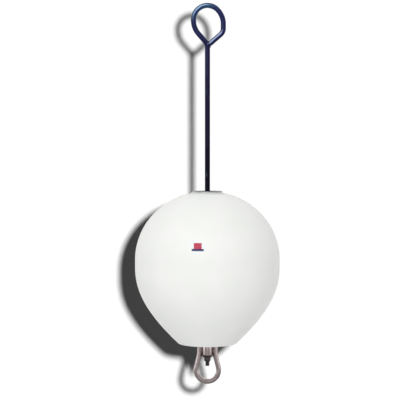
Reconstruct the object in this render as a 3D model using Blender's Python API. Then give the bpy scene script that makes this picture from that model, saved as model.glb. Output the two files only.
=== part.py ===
"""Anchor marker buoy: a moulded float on a steel rod, with a lifting eye on top and a swivel bow below.

Metres, +Z up. Everything is modelled upwards and downwards from the float's foot, on an empty that is set so
that the world's origin is where a hook bears in the lifting eye.
"""

import math

import bmesh
import bpy
from mathutils import Matrix, Vector

# Fits
CONTACT_GAP = 0.0003
THREAD_CLEARANCE = 0.0005
BORE_CLEARANCE = 0.001

# Rod and lifting eye, all bends measured on the bar's centreline
BAR_DIAMETER = 0.0145
ROD_ABOVE_PLATE = 0.394
NECK_BEND_RADIUS = 0.0277
NECK_ANGLE = math.radians(41)
CHEEK_BEND_RADIUS = 0.0554
CHEEK_RUN = 0.0025
EYE_RADIUS = 0.0384
EYE_TURN = math.radians(135)
EYE_SIDE_RADIUS = 0.056
RETURN_RUN = 0.012
RETURN_BEND_RADIUS = 0.022
RETURN_ANGLE = math.radians(49)
WELD_ROOT_GAP = 0.0008
WELD_THICKNESS = 0.0006
WELD_RUN_UP = 0.004

# Threaded end of the rod
THREAD_DIAMETER = 0.012
THREAD_CHAMFER = 0.001
THREAD_TAIL = 0.0126

# Float
BELLY_RADIUS = 0.200
BELLY_BAND = 0.021
CROWN_RISE = 0.190
FLANK_DROP = 0.211
FLANK_SHOULDER_PULL = 0.055
FLANK_FOOT_PULL = 0.138
FOOT_RADIUS = 0.081
FOOT_ANGLE = math.radians(46)
FOOT_EDGE_RADIUS = 0.004
SEAT_MARGIN = 0.0045
SEAT_RISE = 0.003
SEAT_EDGE_RADIUS = 0.0015
SHELF_WIDTH = 0.0115

# Clamp plates above and below the float
PLATE_DIAMETER = 0.083
PLATE_THICKNESS = 0.004
PLATE_EDGE_RADIUS = 0.0006

# Swivel bow
SLEEVE_DIAMETER = 0.030
SLEEVE_LENGTH = 0.0314
SLEEVE_CHAMFER = 0.0012
BOW_BAR_DIAMETER = 0.014
BOW_RADIUS = 0.0313
BOW_FLARE = math.radians(13)
BOW_FLARE_RADIUS = 0.030
BOW_CLEAR_LENGTH = 0.0367
BOW_LEG_INSET = 0.001
BOW_LEG_SINK = 0.0006
BOW_END_CHAMFER = 0.0008
SEAM_RADIUS = 0.0022
SEAM_SINK = 0.0006

# Washer and lock nut
WASHER_DIAMETER = 0.0245
WASHER_THICKNESS = 0.0025
WASHER_EDGE_RADIUS = 0.0004
NUT_ACROSS_FLATS = 0.018
NUT_HEX_HEIGHT = 0.0086
NUT_COLLAR_HEIGHT = 0.0034
NUT_COLLAR_DIAMETER = 0.0166
NUT_CORNER_CHAMFER = 0.0009

# Fineness of the round shapes
FLOAT_STEPS = 72
PLATE_STEPS = 48
TURNED_STEPS = 32
BAR_STEPS = 24
BEND_STEP = math.radians(6)
EDGE_STEPS = 3
FLANK_STEPS = 13
CROWN_STEPS = 13
SMOOTH_BELOW = math.radians(35)

# Worked out from the sizes above, from the float's foot upwards
BAR_RADIUS = BAR_DIAMETER / 2
BELLY_TOP = FLANK_DROP + BELLY_BAND
SEAT_RADIUS = PLATE_DIAMETER / 2 + SEAT_MARGIN
SHELF_RADIUS = SEAT_RADIUS + SHELF_WIDTH
SHELF_ANGLE = math.acos(SHELF_RADIUS / BELLY_RADIUS)
SHELF_HEIGHT = BELLY_TOP + CROWN_RISE * math.sin(SHELF_ANGLE)
SEAT_HEIGHT = SHELF_HEIGHT + SEAT_RISE
TOP_PLATE_Z = SEAT_HEIGHT + CONTACT_GAP
NECK_Z = TOP_PLATE_Z + PLATE_THICKNESS + ROD_ABOVE_PLATE
BOTH_BENDS = NECK_BEND_RADIUS + CHEEK_BEND_RADIUS
SWING = EYE_RADIUS - BOTH_BENDS * (1 - math.cos(NECK_ANGLE))
NECK_RUN = SWING / math.sin(NECK_ANGLE)
NECK_RISE = BOTH_BENDS * math.sin(NECK_ANGLE) + NECK_RUN * math.cos(NECK_ANGLE)
EYE_CENTRE_Z = NECK_Z + NECK_RISE + CHEEK_RUN
HOOK_Z = EYE_CENTRE_Z + EYE_RADIUS - BAR_RADIUS

# The same, from the float's foot downwards
THREAD_RADIUS = THREAD_DIAMETER / 2
BOTTOM_PLATE_Z = -CONTACT_GAP - PLATE_THICKNESS
SLEEVE_TOP_Z = BOTTOM_PLATE_Z - CONTACT_GAP
SLEEVE_BOTTOM_Z = SLEEVE_TOP_Z - SLEEVE_LENGTH
WASHER_Z = SLEEVE_BOTTOM_Z - CONTACT_GAP - WASHER_THICKNESS
NUT_TOP_Z = WASHER_Z - CONTACT_GAP
NUT_HEX_Z = NUT_TOP_Z - NUT_HEX_HEIGHT
NUT_BOTTOM_Z = NUT_HEX_Z - NUT_COLLAR_HEIGHT
THREAD_END_Z = NUT_BOTTOM_Z - THREAD_TAIL
BOW_CENTRE_Z = THREAD_END_Z - BOW_CLEAR_LENGTH + BOW_RADIUS - BOW_BAR_DIAMETER / 2


def clear_scene():
    """Remove every object that the file starts with."""
    for thing in list(bpy.data.objects):
        bpy.data.objects.remove(thing, do_unlink=True)


def make_finish(name, colour, roughness, metallic):
    """A plain Principled material."""
    finish = bpy.data.materials.new(name)
    finish.use_nodes = True
    shader = finish.node_tree.nodes["Principled BSDF"]
    shader.inputs["Base Color"].default_value = (*colour, 1.0)
    shader.inputs["Roughness"].default_value = roughness
    shader.inputs["Metallic"].default_value = metallic
    return finish


def add_object(name, bm, datum, finish=None):
    """Turn a bmesh into an object on the datum. Without a finish it is a helper that is not rendered."""
    bmesh.ops.recalc_face_normals(bm, faces=bm.faces)
    mesh = bpy.data.meshes.new(name)
    bm.to_mesh(mesh)
    bm.free()
    mesh.shade_smooth()
    mesh.set_sharp_from_angle(angle=SMOOTH_BELOW)
    thing = bpy.data.objects.new(name, mesh)
    bpy.context.scene.collection.objects.link(thing)
    thing.parent = datum
    if finish:
        mesh.materials.append(finish)
    else:
        thing.hide_render = True
        thing.display_type = "WIRE"
    return thing


def combine(thing, helper, operation):
    """Join a helper to an object, cut it away or keep only what both share."""
    modifier = thing.modifiers.new(helper.name, "BOOLEAN")
    modifier.operation = operation
    modifier.solver = "EXACT"
    modifier.object = helper


def arc(centre, radius, start, end, steps):
    """Points (r, z) along an arc in a turned profile."""
    turns = [start + (end - start) * i / steps for i in range(steps + 1)]
    return [(centre[0] + radius * math.cos(a), centre[1] + radius * math.sin(a)) for a in turns]


def bezier(start, start_pull, end_pull, end, steps):
    """Points (r, z) along a cubic curve in a turned profile."""
    points = []
    for i in range(steps + 1):
        t = i / steps
        weights = ((1 - t) ** 3, 3 * (1 - t) ** 2 * t, 3 * (1 - t) * t**2, t**3)
        corners = (start, start_pull, end_pull, end)
        points.append(tuple(sum(w * c[k] for w, c in zip(weights, corners)) for k in (0, 1)))
    return points


def turned(profile, steps):
    """Spin a closed (r, z) outline once round Z."""
    bm = bmesh.new()
    ring = [bm.verts.new((r, 0, z)) for r, z in profile]
    edges = [bm.edges.new((a, b)) for a, b in zip(ring, ring[1:] + ring[:1])]
    bmesh.ops.spin(
        bm,
        geom=ring + edges,
        cent=(0, 0, 0),
        axis=(0, 0, 1),
        angle=math.tau,
        steps=steps,
        use_merge=True,
    )
    return bm


def ring_outline(bore_radius, outer_radius, bottom, height, edge_radius):
    """The (r, z) outline of a flat ring whose two outer edges are rounded."""
    top = bottom + height
    rim = outer_radius - edge_radius
    lower = arc((rim, bottom + edge_radius), edge_radius, -math.pi / 2, 0, EDGE_STEPS)
    upper = arc((rim, top - edge_radius), edge_radius, 0, math.pi / 2, EDGE_STEPS)
    return [(bore_radius, bottom), *lower, *upper, (bore_radius, top)]


class Bar:
    """A round bar that is drawn out and bent step by step in the XZ plane."""

    def __init__(self, start, heading, radius):
        """Start with a flat round end of this radius, heading along a unit vector."""
        self.bm = bmesh.new()
        self.point = Vector(start)
        self.heading = Vector(heading)
        self.radius = radius
        facing = Vector((0, 0, 1)).rotation_difference(self.heading).to_matrix().to_4x4()
        made = bmesh.ops.create_circle(
            self.bm,
            cap_ends=True,
            radius=radius,
            segments=BAR_STEPS,
            matrix=Matrix.Translation(self.point) @ facing,
        )
        self.rim = list({edge for vert in made["verts"] for edge in vert.link_edges})

    def rim_verts(self):
        """The corners of the bar's open end."""
        return list({vert for edge in self.rim for vert in edge.verts})

    def draw(self, length, end_radius=None):
        """Draw the bar straight out, and taper or step it where an end radius is given."""
        made = bmesh.ops.extrude_edge_only(self.bm, edges=self.rim)["geom"]
        self.rim = [part for part in made if isinstance(part, bmesh.types.BMEdge)]
        verts = [part for part in made if isinstance(part, bmesh.types.BMVert)]
        self.point = self.point + self.heading * length
        bmesh.ops.translate(self.bm, verts=verts, vec=self.heading * length)
        if end_radius is not None:
            share = end_radius / self.radius
            for vert in verts:
                vert.co = self.point + (vert.co - self.point) * share
            self.radius = end_radius
        ring = set(verts)
        self.rim = [edge for edge in self.rim if ring.issuperset(edge.verts)]
        return self

    def bend(self, bend_radius, angle):
        """Bend the bar to the right, seen along +Y, or to the left for a negative angle."""
        side = math.copysign(1, angle)
        right = Vector((self.heading.z, 0, -self.heading.x))
        centre = self.point + right * bend_radius * side
        made = bmesh.ops.spin(
            self.bm,
            geom=self.rim_verts() + self.rim,
            cent=centre,
            axis=(0, 1, 0),
            angle=angle,
            steps=max(2, round(abs(angle) / BEND_STEP)),
        )
        self.rim = [part for part in made["geom_last"] if isinstance(part, bmesh.types.BMEdge)]
        turn = Matrix.Rotation(angle, 3, "Y")
        self.point = centre + turn @ (self.point - centre)
        self.heading = turn @ self.heading
        return self

    def finish(self):
        """Close the open end and give back the bmesh."""
        bmesh.ops.contextual_create(self.bm, geom=self.rim)
        return self.bm


def reach_circle(point, heading, centre, distance):
    """How far along a heading a point travels until it is this near to a centre."""
    offset = point - centre
    along = offset.dot(heading)
    return -along - math.sqrt(along**2 - offset.length_squared + distance**2)


def build_float(datum, finish):
    """The moulded float: foot, flank, belly, crown and plate seat round the rod's bore."""
    bore = BAR_RADIUS + BORE_CLEARANCE
    foot_turn = math.pi / 2 - FOOT_ANGLE
    edge_reach = FOOT_EDGE_RADIUS * math.tan(foot_turn / 2)
    edge_centre = (FOOT_RADIUS - edge_reach, FOOT_EDGE_RADIUS)
    foot_edge = arc(edge_centre, FOOT_EDGE_RADIUS, -math.pi / 2, -FOOT_ANGLE, EDGE_STEPS)
    flank_start = foot_edge[-1]
    flank_pull = (
        flank_start[0] + FLANK_FOOT_PULL * math.sin(FOOT_ANGLE),
        flank_start[1] + FLANK_FOOT_PULL * math.cos(FOOT_ANGLE),
    )
    shoulder_pull = (BELLY_RADIUS, FLANK_DROP - FLANK_SHOULDER_PULL)
    flank = bezier(flank_start, flank_pull, shoulder_pull, (BELLY_RADIUS, FLANK_DROP), FLANK_STEPS)
    crown = [
        (BELLY_RADIUS * math.cos(turn), BELLY_TOP + CROWN_RISE * math.sin(turn))
        for turn in (SHELF_ANGLE * i / CROWN_STEPS for i in range(CROWN_STEPS + 1))
    ]
    seat_rim = SEAT_RADIUS - SEAT_EDGE_RADIUS
    seat_edge = arc((seat_rim, SEAT_HEIGHT - SEAT_EDGE_RADIUS), SEAT_EDGE_RADIUS, 0, math.pi / 2, EDGE_STEPS)
    seat = [(SEAT_RADIUS, SHELF_HEIGHT), *seat_edge, (bore, SEAT_HEIGHT)]
    outline = [(bore, 0), *foot_edge, *flank[1:], *crown, *seat]
    return add_object("float_body", turned(outline, FLOAT_STEPS), datum, finish)


def build_eye_rod(datum, finish):
    """The rod, from its threaded end up through the float and round the lifting eye to its welded tail."""
    tip = THREAD_RADIUS - THREAD_CHAMFER
    bar = Bar((0, 0, THREAD_END_Z), (0, 0, 1), tip)
    bar.draw(THREAD_CHAMFER, THREAD_RADIUS)
    bar.draw(-THREAD_END_Z - THREAD_CHAMFER)
    bar.draw(0, BAR_RADIUS)
    bar.draw(NECK_Z)
    neck_centre = bar.point - Vector((NECK_BEND_RADIUS, 0, 0))
    bar.bend(NECK_BEND_RADIUS, -NECK_ANGLE)
    bar.draw(NECK_RUN)
    bar.bend(CHEEK_BEND_RADIUS, NECK_ANGLE)
    bar.draw(CHEEK_RUN)
    bar.bend(EYE_RADIUS, EYE_TURN)
    bar.bend(EYE_SIDE_RADIUS, math.pi - EYE_TURN)
    bar.draw(RETURN_RUN)
    bar.bend(RETURN_BEND_RADIUS, RETURN_ANGLE)
    inner_side = Vector((bar.heading.z, 0, -bar.heading.x)) * BAR_RADIUS
    stand_off = NECK_BEND_RADIUS + BAR_RADIUS + WELD_ROOT_GAP
    bar.draw(reach_circle(bar.point + inner_side, bar.heading, neck_centre, stand_off))
    rod = add_object("eye_rod", bar.finish(), datum, finish)
    to_rod_middle = reach_circle(bar.point, bar.heading, neck_centre, NECK_BEND_RADIUS)
    combine(rod, build_tail_weld(datum, bar.point, bar.heading, to_rod_middle), "UNION")
    return rod


def build_tail_weld(datum, tail_end, heading, to_rod_middle):
    """The weld that carries the eye's tail into the rod, a little thicker than the bar."""
    swell = BAR_RADIUS + WELD_THICKNESS
    weld = Bar(tail_end - heading * WELD_RUN_UP, heading, BAR_RADIUS - WELD_THICKNESS)
    weld.draw(WELD_RUN_UP, swell)
    weld.draw(to_rod_middle - BAR_RADIUS)
    weld.draw(BAR_RADIUS, swell / 2)
    return add_object("tail_weld", weld.finish(), datum)


def build_plate(name, bore_radius, bottom, datum, finish):
    """A round clamp plate."""
    outline = ring_outline(bore_radius, PLATE_DIAMETER / 2, bottom, PLATE_THICKNESS, PLATE_EDGE_RADIUS)
    return add_object(name, turned(outline, PLATE_STEPS), datum, finish)


def build_swivel_bow(datum, finish):
    """The sleeve that turns on the rod's end, with the bow welded along both its sides."""
    bore = THREAD_RADIUS + THREAD_CLEARANCE
    outer = SLEEVE_DIAMETER / 2
    rim = outer - SLEEVE_CHAMFER
    outline = [
        (bore, SLEEVE_BOTTOM_Z),
        (rim, SLEEVE_BOTTOM_Z),
        (outer, SLEEVE_BOTTOM_Z + SLEEVE_CHAMFER),
        (outer, SLEEVE_TOP_Z - SLEEVE_CHAMFER),
        (rim, SLEEVE_TOP_Z),
        (bore, SLEEVE_TOP_Z),
    ]
    swivel = add_object("swivel_bow", turned(outline, TURNED_STEPS), datum, finish)
    bar_radius = BOW_BAR_DIAMETER / 2
    leg_x = outer + bar_radius - BOW_LEG_SINK
    leg_top = SLEEVE_TOP_Z - BOW_LEG_INSET
    flare_x = BOW_RADIUS * math.cos(BOW_FLARE)
    corner_z = BOW_CENTRE_Z + BOW_RADIUS * math.sin(BOW_FLARE) + (flare_x - leg_x) / math.tan(BOW_FLARE)
    bend_reach = BOW_FLARE_RADIUS * math.tan(BOW_FLARE / 2)
    leg_length = leg_top - corner_z - bend_reach
    combine(swivel, build_bow(datum, leg_x, leg_top, leg_length, flare_x, bend_reach), "UNION")
    for index, place in enumerate(seam_places(outer, bar_radius, leg_x)):
        combine(swivel, build_seam(datum, index, place, leg_top, leg_length), "UNION")
    return swivel


def build_bow(datum, leg_x, leg_top, leg_length, flare_x, bend_reach):
    """The bow's bar: down one leg, out, round the crown and back up the other leg."""
    radius = BOW_BAR_DIAMETER / 2
    slant = (flare_x - leg_x) / math.sin(BOW_FLARE) - bend_reach
    bar = Bar((-leg_x, 0, leg_top), (0, 0, -1), radius - BOW_END_CHAMFER)
    bar.draw(BOW_END_CHAMFER, radius)
    bar.draw(leg_length - BOW_END_CHAMFER)
    bar.bend(BOW_FLARE_RADIUS, BOW_FLARE)
    bar.draw(slant)
    bar.bend(BOW_RADIUS, -math.pi - 2 * BOW_FLARE)
    bar.draw(slant)
    bar.bend(BOW_FLARE_RADIUS, BOW_FLARE)
    bar.draw(leg_length - BOW_END_CHAMFER)
    bar.draw(BOW_END_CHAMFER, radius - BOW_END_CHAMFER)
    return add_object("bow_bar", bar.finish(), datum)


def seam_places(sleeve_radius, bar_radius, leg_x):
    """The four places (x, y) where a weld seam fills the groove between the sleeve and a leg."""
    to_sleeve = sleeve_radius + SEAM_RADIUS - SEAM_SINK
    to_leg = bar_radius + SEAM_RADIUS - SEAM_SINK
    x = (to_sleeve**2 - to_leg**2 + leg_x**2) / (2 * leg_x)
    y = math.sqrt(to_sleeve**2 - x**2)
    return [(side * x, face * y) for side in (-1, 1) for face in (-1, 1)]


def build_seam(datum, index, place, leg_top, leg_length):
    """One weld seam, tapered at both ends."""
    tip = SEAM_RADIUS / 2
    bar = Bar((*place, leg_top - tip), (0, 0, -1), tip)
    bar.draw(SEAM_RADIUS, SEAM_RADIUS)
    bar.draw(leg_length - 2 * SEAM_RADIUS - tip)
    bar.draw(SEAM_RADIUS, tip)
    return add_object(f"bow_seam_{index + 1}", bar.finish(), datum)


def build_washer(datum, finish):
    """The washer between the sleeve and the lock nut."""
    bore = THREAD_RADIUS + THREAD_CLEARANCE
    outline = ring_outline(bore, WASHER_DIAMETER / 2, WASHER_Z, WASHER_THICKNESS, WASHER_EDGE_RADIUS)
    return add_object("bow_washer", turned(outline, TURNED_STEPS), datum, finish)


def build_lock_nut(datum, finish):
    """The hexagon lock nut with its round collar at the lower end."""
    bore = THREAD_RADIUS + CONTACT_GAP
    corner = NUT_ACROSS_FLATS / math.sqrt(3) + CONTACT_GAP
    face = NUT_ACROSS_FLATS / 2
    drop = (corner - face) / math.sqrt(3)
    collar = NUT_COLLAR_DIAMETER / 2
    collar_edge = arc(
        (collar - NUT_CORNER_CHAMFER, NUT_BOTTOM_Z + NUT_CORNER_CHAMFER),
        NUT_CORNER_CHAMFER,
        -math.pi / 2,
        0,
        EDGE_STEPS,
    )
    outline = [
        (bore, NUT_BOTTOM_Z),
        *collar_edge,
        (collar, NUT_HEX_Z),
        (face, NUT_HEX_Z),
        (corner, NUT_HEX_Z + drop),
        (corner, NUT_TOP_Z - drop),
        (face, NUT_TOP_Z),
        (bore, NUT_TOP_Z),
    ]
    nut = add_object("lock_nut", turned(outline, TURNED_STEPS), datum, finish)
    combine(nut, build_nut_hexagon(datum), "INTERSECT")
    return nut


def build_nut_hexagon(datum):
    """The hexagon bar that the nut is cut from."""
    height = NUT_TOP_Z - NUT_BOTTOM_Z
    bm = bmesh.new()
    bmesh.ops.create_cone(
        bm,
        cap_ends=True,
        segments=6,
        radius1=NUT_ACROSS_FLATS / math.sqrt(3),
        radius2=NUT_ACROSS_FLATS / math.sqrt(3),
        depth=2 * height,
        matrix=Matrix.Translation((0, 0, NUT_BOTTOM_Z + height / 2)),
    )
    return add_object("nut_hexagon", bm, datum)


def main():
    """Build the buoy."""
    clear_scene()
    datum = bpy.data.objects.new("float_foot", None)
    bpy.context.scene.collection.objects.link(datum)
    datum.location = (0, 0, -HOOK_Z)

    white = make_finish("white_moulding", (0.90, 0.91, 0.88), 0.45, 0.0)
    navy = make_finish("navy_coating", (0.022, 0.024, 0.075), 0.22, 0.0)
    galvanised = make_finish("galvanised_steel", (0.42, 0.43, 0.44), 0.45, 1.0)
    bright = make_finish("bright_steel", (0.62, 0.56, 0.54), 0.25, 1.0)
    fastener = make_finish("fastener_steel", (0.40, 0.38, 0.37), 0.35, 1.0)

    build_float(datum, white)
    build_eye_rod(datum, navy)
    build_plate("top_plate", BAR_RADIUS + CONTACT_GAP, TOP_PLATE_Z, datum, galvanised)
    build_plate("bottom_plate", THREAD_RADIUS + THREAD_CLEARANCE, BOTTOM_PLATE_Z, datum, galvanised)
    build_swivel_bow(datum, bright)
    build_washer(datum, fastener)
    build_lock_nut(datum, fastener)


main()
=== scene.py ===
"""Looks of the anchor marker buoy: a moulded float on a coated rod, with a lifting eye and a swivel bow.

Metres, +Z up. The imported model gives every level, and each class below builds one sub-assembly of the buoy in
full detail, dresses it and lets it ride on its body.
"""

import logging
import math
from collections.abc import Sequence
from dataclasses import dataclass
from enum import Enum

import bmesh
import bpy
from mathutils import Matrix, Vector
from mathutils.bvhtree import BVHTree
from mathutils.kdtree import KDTree

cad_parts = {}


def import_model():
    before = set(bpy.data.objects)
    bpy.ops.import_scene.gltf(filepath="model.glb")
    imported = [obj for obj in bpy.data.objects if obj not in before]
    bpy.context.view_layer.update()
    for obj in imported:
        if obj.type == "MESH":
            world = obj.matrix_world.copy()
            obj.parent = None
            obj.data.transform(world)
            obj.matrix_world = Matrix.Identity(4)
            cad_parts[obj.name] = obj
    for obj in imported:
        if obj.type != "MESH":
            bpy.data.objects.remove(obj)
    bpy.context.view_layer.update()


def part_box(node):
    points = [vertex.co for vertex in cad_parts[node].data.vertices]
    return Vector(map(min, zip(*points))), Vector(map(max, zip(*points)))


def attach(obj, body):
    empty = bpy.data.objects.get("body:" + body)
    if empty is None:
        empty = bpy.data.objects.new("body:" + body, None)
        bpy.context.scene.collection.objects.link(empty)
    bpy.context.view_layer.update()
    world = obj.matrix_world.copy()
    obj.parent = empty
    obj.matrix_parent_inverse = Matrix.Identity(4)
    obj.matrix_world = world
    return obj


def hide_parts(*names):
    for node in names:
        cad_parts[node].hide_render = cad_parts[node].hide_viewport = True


LOG = logging.getLogger("buoy")
BAR_PLACE = "bar_place"
SKETCH_NAME = "sketch"
SMOOTH_BELOW = math.radians(32)
NEAR = 1e-5
UP = Vector((0, 0, 1))
DOWN = Vector((0, 0, -1))

Corner = tuple[float, float]
Colour = tuple[float, float, float]
Feed = bpy.types.NodeSocket | float | Sequence[float]


class Body(Enum):
    """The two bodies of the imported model."""

    BUOY = "buoy"
    SWIVEL = "swivel"


class Slot(Enum):
    """Names of the material slots."""

    MOULDING = "white_moulding"
    COATING = "navy_coating"
    GALVANISED = "galvanised_steel"
    BRIGHT = "bright_steel"
    FASTENER = "fastener_steel"


class Effect(Enum):
    """Surface effects that several finishes share, each one a shader node group."""

    MOTTLE = "mottle"
    PEEL = "moulded_peel"
    TURNING = "turning_marks"
    DRAWN = "drawn_grain"
    SPANGLE = "zinc_spangle"
    SCUFFS = "fine_scuffs"
    WINDOW = "soft_window"
    RING = "soft_ring"


class Join(Enum):
    """How two closed shells are combined."""

    UNION = "UNION"
    INTERSECT = "INTERSECT"


@dataclass(frozen=True)
class Span:
    """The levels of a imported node.

    Attributes:
        low: Its lowest level.
        high: Its highest level.
    """

    low: float
    high: float

    @classmethod
    def of(cls, node: str) -> "Span":
        """Read a node's levels from the frame."""
        lowest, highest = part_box(node)
        return cls(lowest.z, highest.z)


# Mesh tools


def arc(centre: Corner, radius: float, start: float, end: float, steps: int) -> list[Corner]:
    """Points along an arc in a turned outline.

    Args:
        centre: Centre of the arc as (r, z).
        radius: Radius of the arc.
        start: First angle, from the r axis towards z.
        end: Last angle.
        steps: Number of straight steps.

    Returns:
        The (r, z) points, both ends included.
    """
    turns = (start + (end - start) * step / steps for step in range(steps + 1))
    return [(centre[0] + radius * math.cos(turn), centre[1] + radius * math.sin(turn)) for turn in turns]


def bezier(corners: Sequence[Corner], steps: int) -> list[Corner]:
    """Points along a cubic curve in a turned outline.

    Args:
        corners: The start, its pull, the end's pull and the end, each as (r, z).
        steps: Number of straight steps.

    Returns:
        The (r, z) points, both ends included.
    """
    points = []
    for step in range(steps + 1):
        t = step / steps
        weights = ((1 - t) ** 3, 3 * (1 - t) ** 2 * t, 3 * (1 - t) * t**2, t**3)
        points.append(tuple(sum(w * corner[k] for w, corner in zip(weights, corners)) for k in (0, 1)))
    return points


def square_ring(bore: float, radius: float, low: float, high: float) -> list[Corner]:
    """The outline of a ring with a square section.

    Args:
        bore: Radius of its bore.
        radius: Its outer radius.
        low: Its lower level.
        high: Its upper level.

    Returns:
        The (r, z) corners, from the bore's lower edge outwards.
    """
    return [(bore, low), (radius, low), (radius, high), (bore, high)]


def turned(outline: Sequence[Corner], steps: int) -> bmesh.types.BMesh:
    """Spin a closed (r, z) outline once round the buoy's axis.

    Args:
        outline: The outline's corners.
        steps: Number of flats round the turned piece.

    Returns:
        The closed shell.
    """
    bm = bmesh.new()
    ring = [bm.verts.new((r, 0, z)) for r, z in outline]
    edges = [bm.edges.new(pair) for pair in zip(ring, ring[1:] + ring[:1])]
    bmesh.ops.spin(
        bm,
        geom=ring + edges,
        cent=(0, 0, 0),
        axis=UP,
        angle=math.tau,
        steps=steps,
        use_merge=True,
    )
    bmesh.ops.recalc_face_normals(bm, faces=bm.faces)
    return bm


def round_edges(
    bm: bmesh.types.BMesh,
    edges: Sequence[bmesh.types.BMEdge],
    width: float,
    segments: int,
) -> None:
    """Round some edges of a shell.

    Args:
        bm: The shell.
        edges: The edges.
        width: How far the rounding reaches from each edge.
        segments: Number of steps in the rounding.
    """
    bmesh.ops.bevel(
        bm,
        geom=edges,
        offset=width,
        segments=segments,
        profile=0.5,
        affect="EDGES",
        material=-1,
    )


def soften_ring(bm: bmesh.types.BMesh, place: Corner, width: float, segments: int) -> None:
    """Round the circular edge of a turned shell that lies at one place of its outline.

    Args:
        bm: The turned shell.
        place: The (r, z) corner of the outline.
        width: How far the rounding reaches from the corner.
        segments: Number of steps in the rounding.
    """

    def on_ring(vert: bmesh.types.BMVert) -> bool:
        """Whether a vertex lies at that place of the outline."""
        return abs(vert.co.xy.length - place[0]) < NEAR and abs(vert.co.z - place[1]) < NEAR

    edges = [edge for edge in bm.edges if all(on_ring(vert) for vert in edge.verts)]
    round_edges(bm, edges, width, segments)


def cut_off(bm: bmesh.types.BMesh, place: Vector, outwards: Vector) -> None:
    """Cut a mesh along a plane and drop what lies outside it.

    Args:
        bm: The mesh.
        place: A point on the plane.
        outwards: The plane's normal, towards the side that is dropped.
    """
    bmesh.ops.bisect_plane(
        bm,
        geom=bm.verts[:] + bm.edges[:] + bm.faces[:],
        plane_co=place,
        plane_no=outwards,
        clear_outer=True,
    )


def draw_circle(
    bm: bmesh.types.BMesh,
    centre: Vector,
    heading: Vector,
    radius: float,
    sides: int,
    filled: bool,
) -> list[bmesh.types.BMEdge]:
    """Draw a circle across a heading.

    Args:
        bm: The mesh that it is drawn in.
        centre: Its middle.
        heading: The way that it faces.
        radius: Its radius.
        sides: Number of its sides.
        filled: Whether it is closed with a face.

    Returns:
        Its edges.
    """
    facing = UP.rotation_difference(heading).to_matrix().to_4x4()
    made = bmesh.ops.create_circle(
        bm,
        cap_ends=filled,
        radius=radius,
        segments=sides,
        matrix=Matrix.Translation(centre) @ facing,
    )
    return list({edge for vert in made["verts"] for edge in vert.link_edges})


def right_of(heading: Vector) -> Vector:
    """The way to the right of a heading in the XZ plane, seen along +Y."""
    return Vector((heading.z, 0, -heading.x))


def mesh_of(name: str, bm: bmesh.types.BMesh) -> bpy.types.Mesh:
    """Make a mesh of a shell.

    Args:
        name: The mesh's name.
        bm: The shell, which is used up.

    Returns:
        The mesh.
    """
    mesh = bpy.data.meshes.new(name)
    bm.to_mesh(mesh)
    bm.free()
    return mesh


def put_in_scene(name: str, data: bpy.types.ID) -> bpy.types.Object:
    """Put a mesh, a light or a camera in the scene.

    Args:
        name: The object's name.
        data: What it is an object of.

    Returns:
        The object.
    """
    thing = bpy.data.objects.new(name, data)
    bpy.context.scene.collection.objects.link(thing)
    return thing


def look_along(thing: bpy.types.Object, direction: Vector) -> None:
    """Turn a lamp or a camera to look in a direction."""
    thing.rotation_mode = "QUATERNION"
    thing.rotation_quaternion = direction.to_track_quat("-Z", "Y")


def sketch_object(bm: bmesh.types.BMesh) -> bpy.types.Object:
    """Put a shell on a passing object, for a Boolean to use.

    Args:
        bm: The shell, which is used up.

    Returns:
        The object.
    """
    bmesh.ops.recalc_face_normals(bm, faces=bm.faces)
    return put_in_scene(SKETCH_NAME, mesh_of(SKETCH_NAME, bm))


def combined(base: bmesh.types.BMesh, others: Sequence[bmesh.types.BMesh], join: Join) -> bmesh.types.BMesh:
    """Combine closed shells into one with exact Booleans.

    Args:
        base: The shell that is kept and changed.
        others: The shells that are joined to it, or that it is cut to.
        join: How they are combined.

    Returns:
        The combined shell.
    """
    thing = sketch_object(base)
    helpers = [sketch_object(other) for other in others]
    for helper in helpers:
        modifier = thing.modifiers.new(join.value, "BOOLEAN")
        modifier.operation = join.value
        modifier.solver = "EXACT"
        modifier.object = helper
    bpy.context.view_layer.update()
    evaluated = thing.evaluated_get(bpy.context.evaluated_depsgraph_get())
    result = bmesh.new()
    result.from_mesh(evaluated.to_mesh())
    evaluated.to_mesh_clear()
    for passing in [thing, *helpers]:
        mesh = passing.data
        bpy.data.objects.remove(passing)
        bpy.data.meshes.remove(mesh)
    return result


@dataclass(frozen=True)
class Station:
    """A place along a bent bar.

    Attributes:
        point: The bar's middle there.
        heading: The way in which the bar runs there.
        along: Length of the bar up to there.
    """

    point: Vector
    heading: Vector
    along: float

    def unbent(self, point: Vector) -> tuple[float, float, float]:
        """Where a point near this station lies on the bar before it was bent."""
        offset = point - self.point
        return offset.dot(right_of(self.heading)), offset.y, self.along + offset.dot(self.heading)


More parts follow.
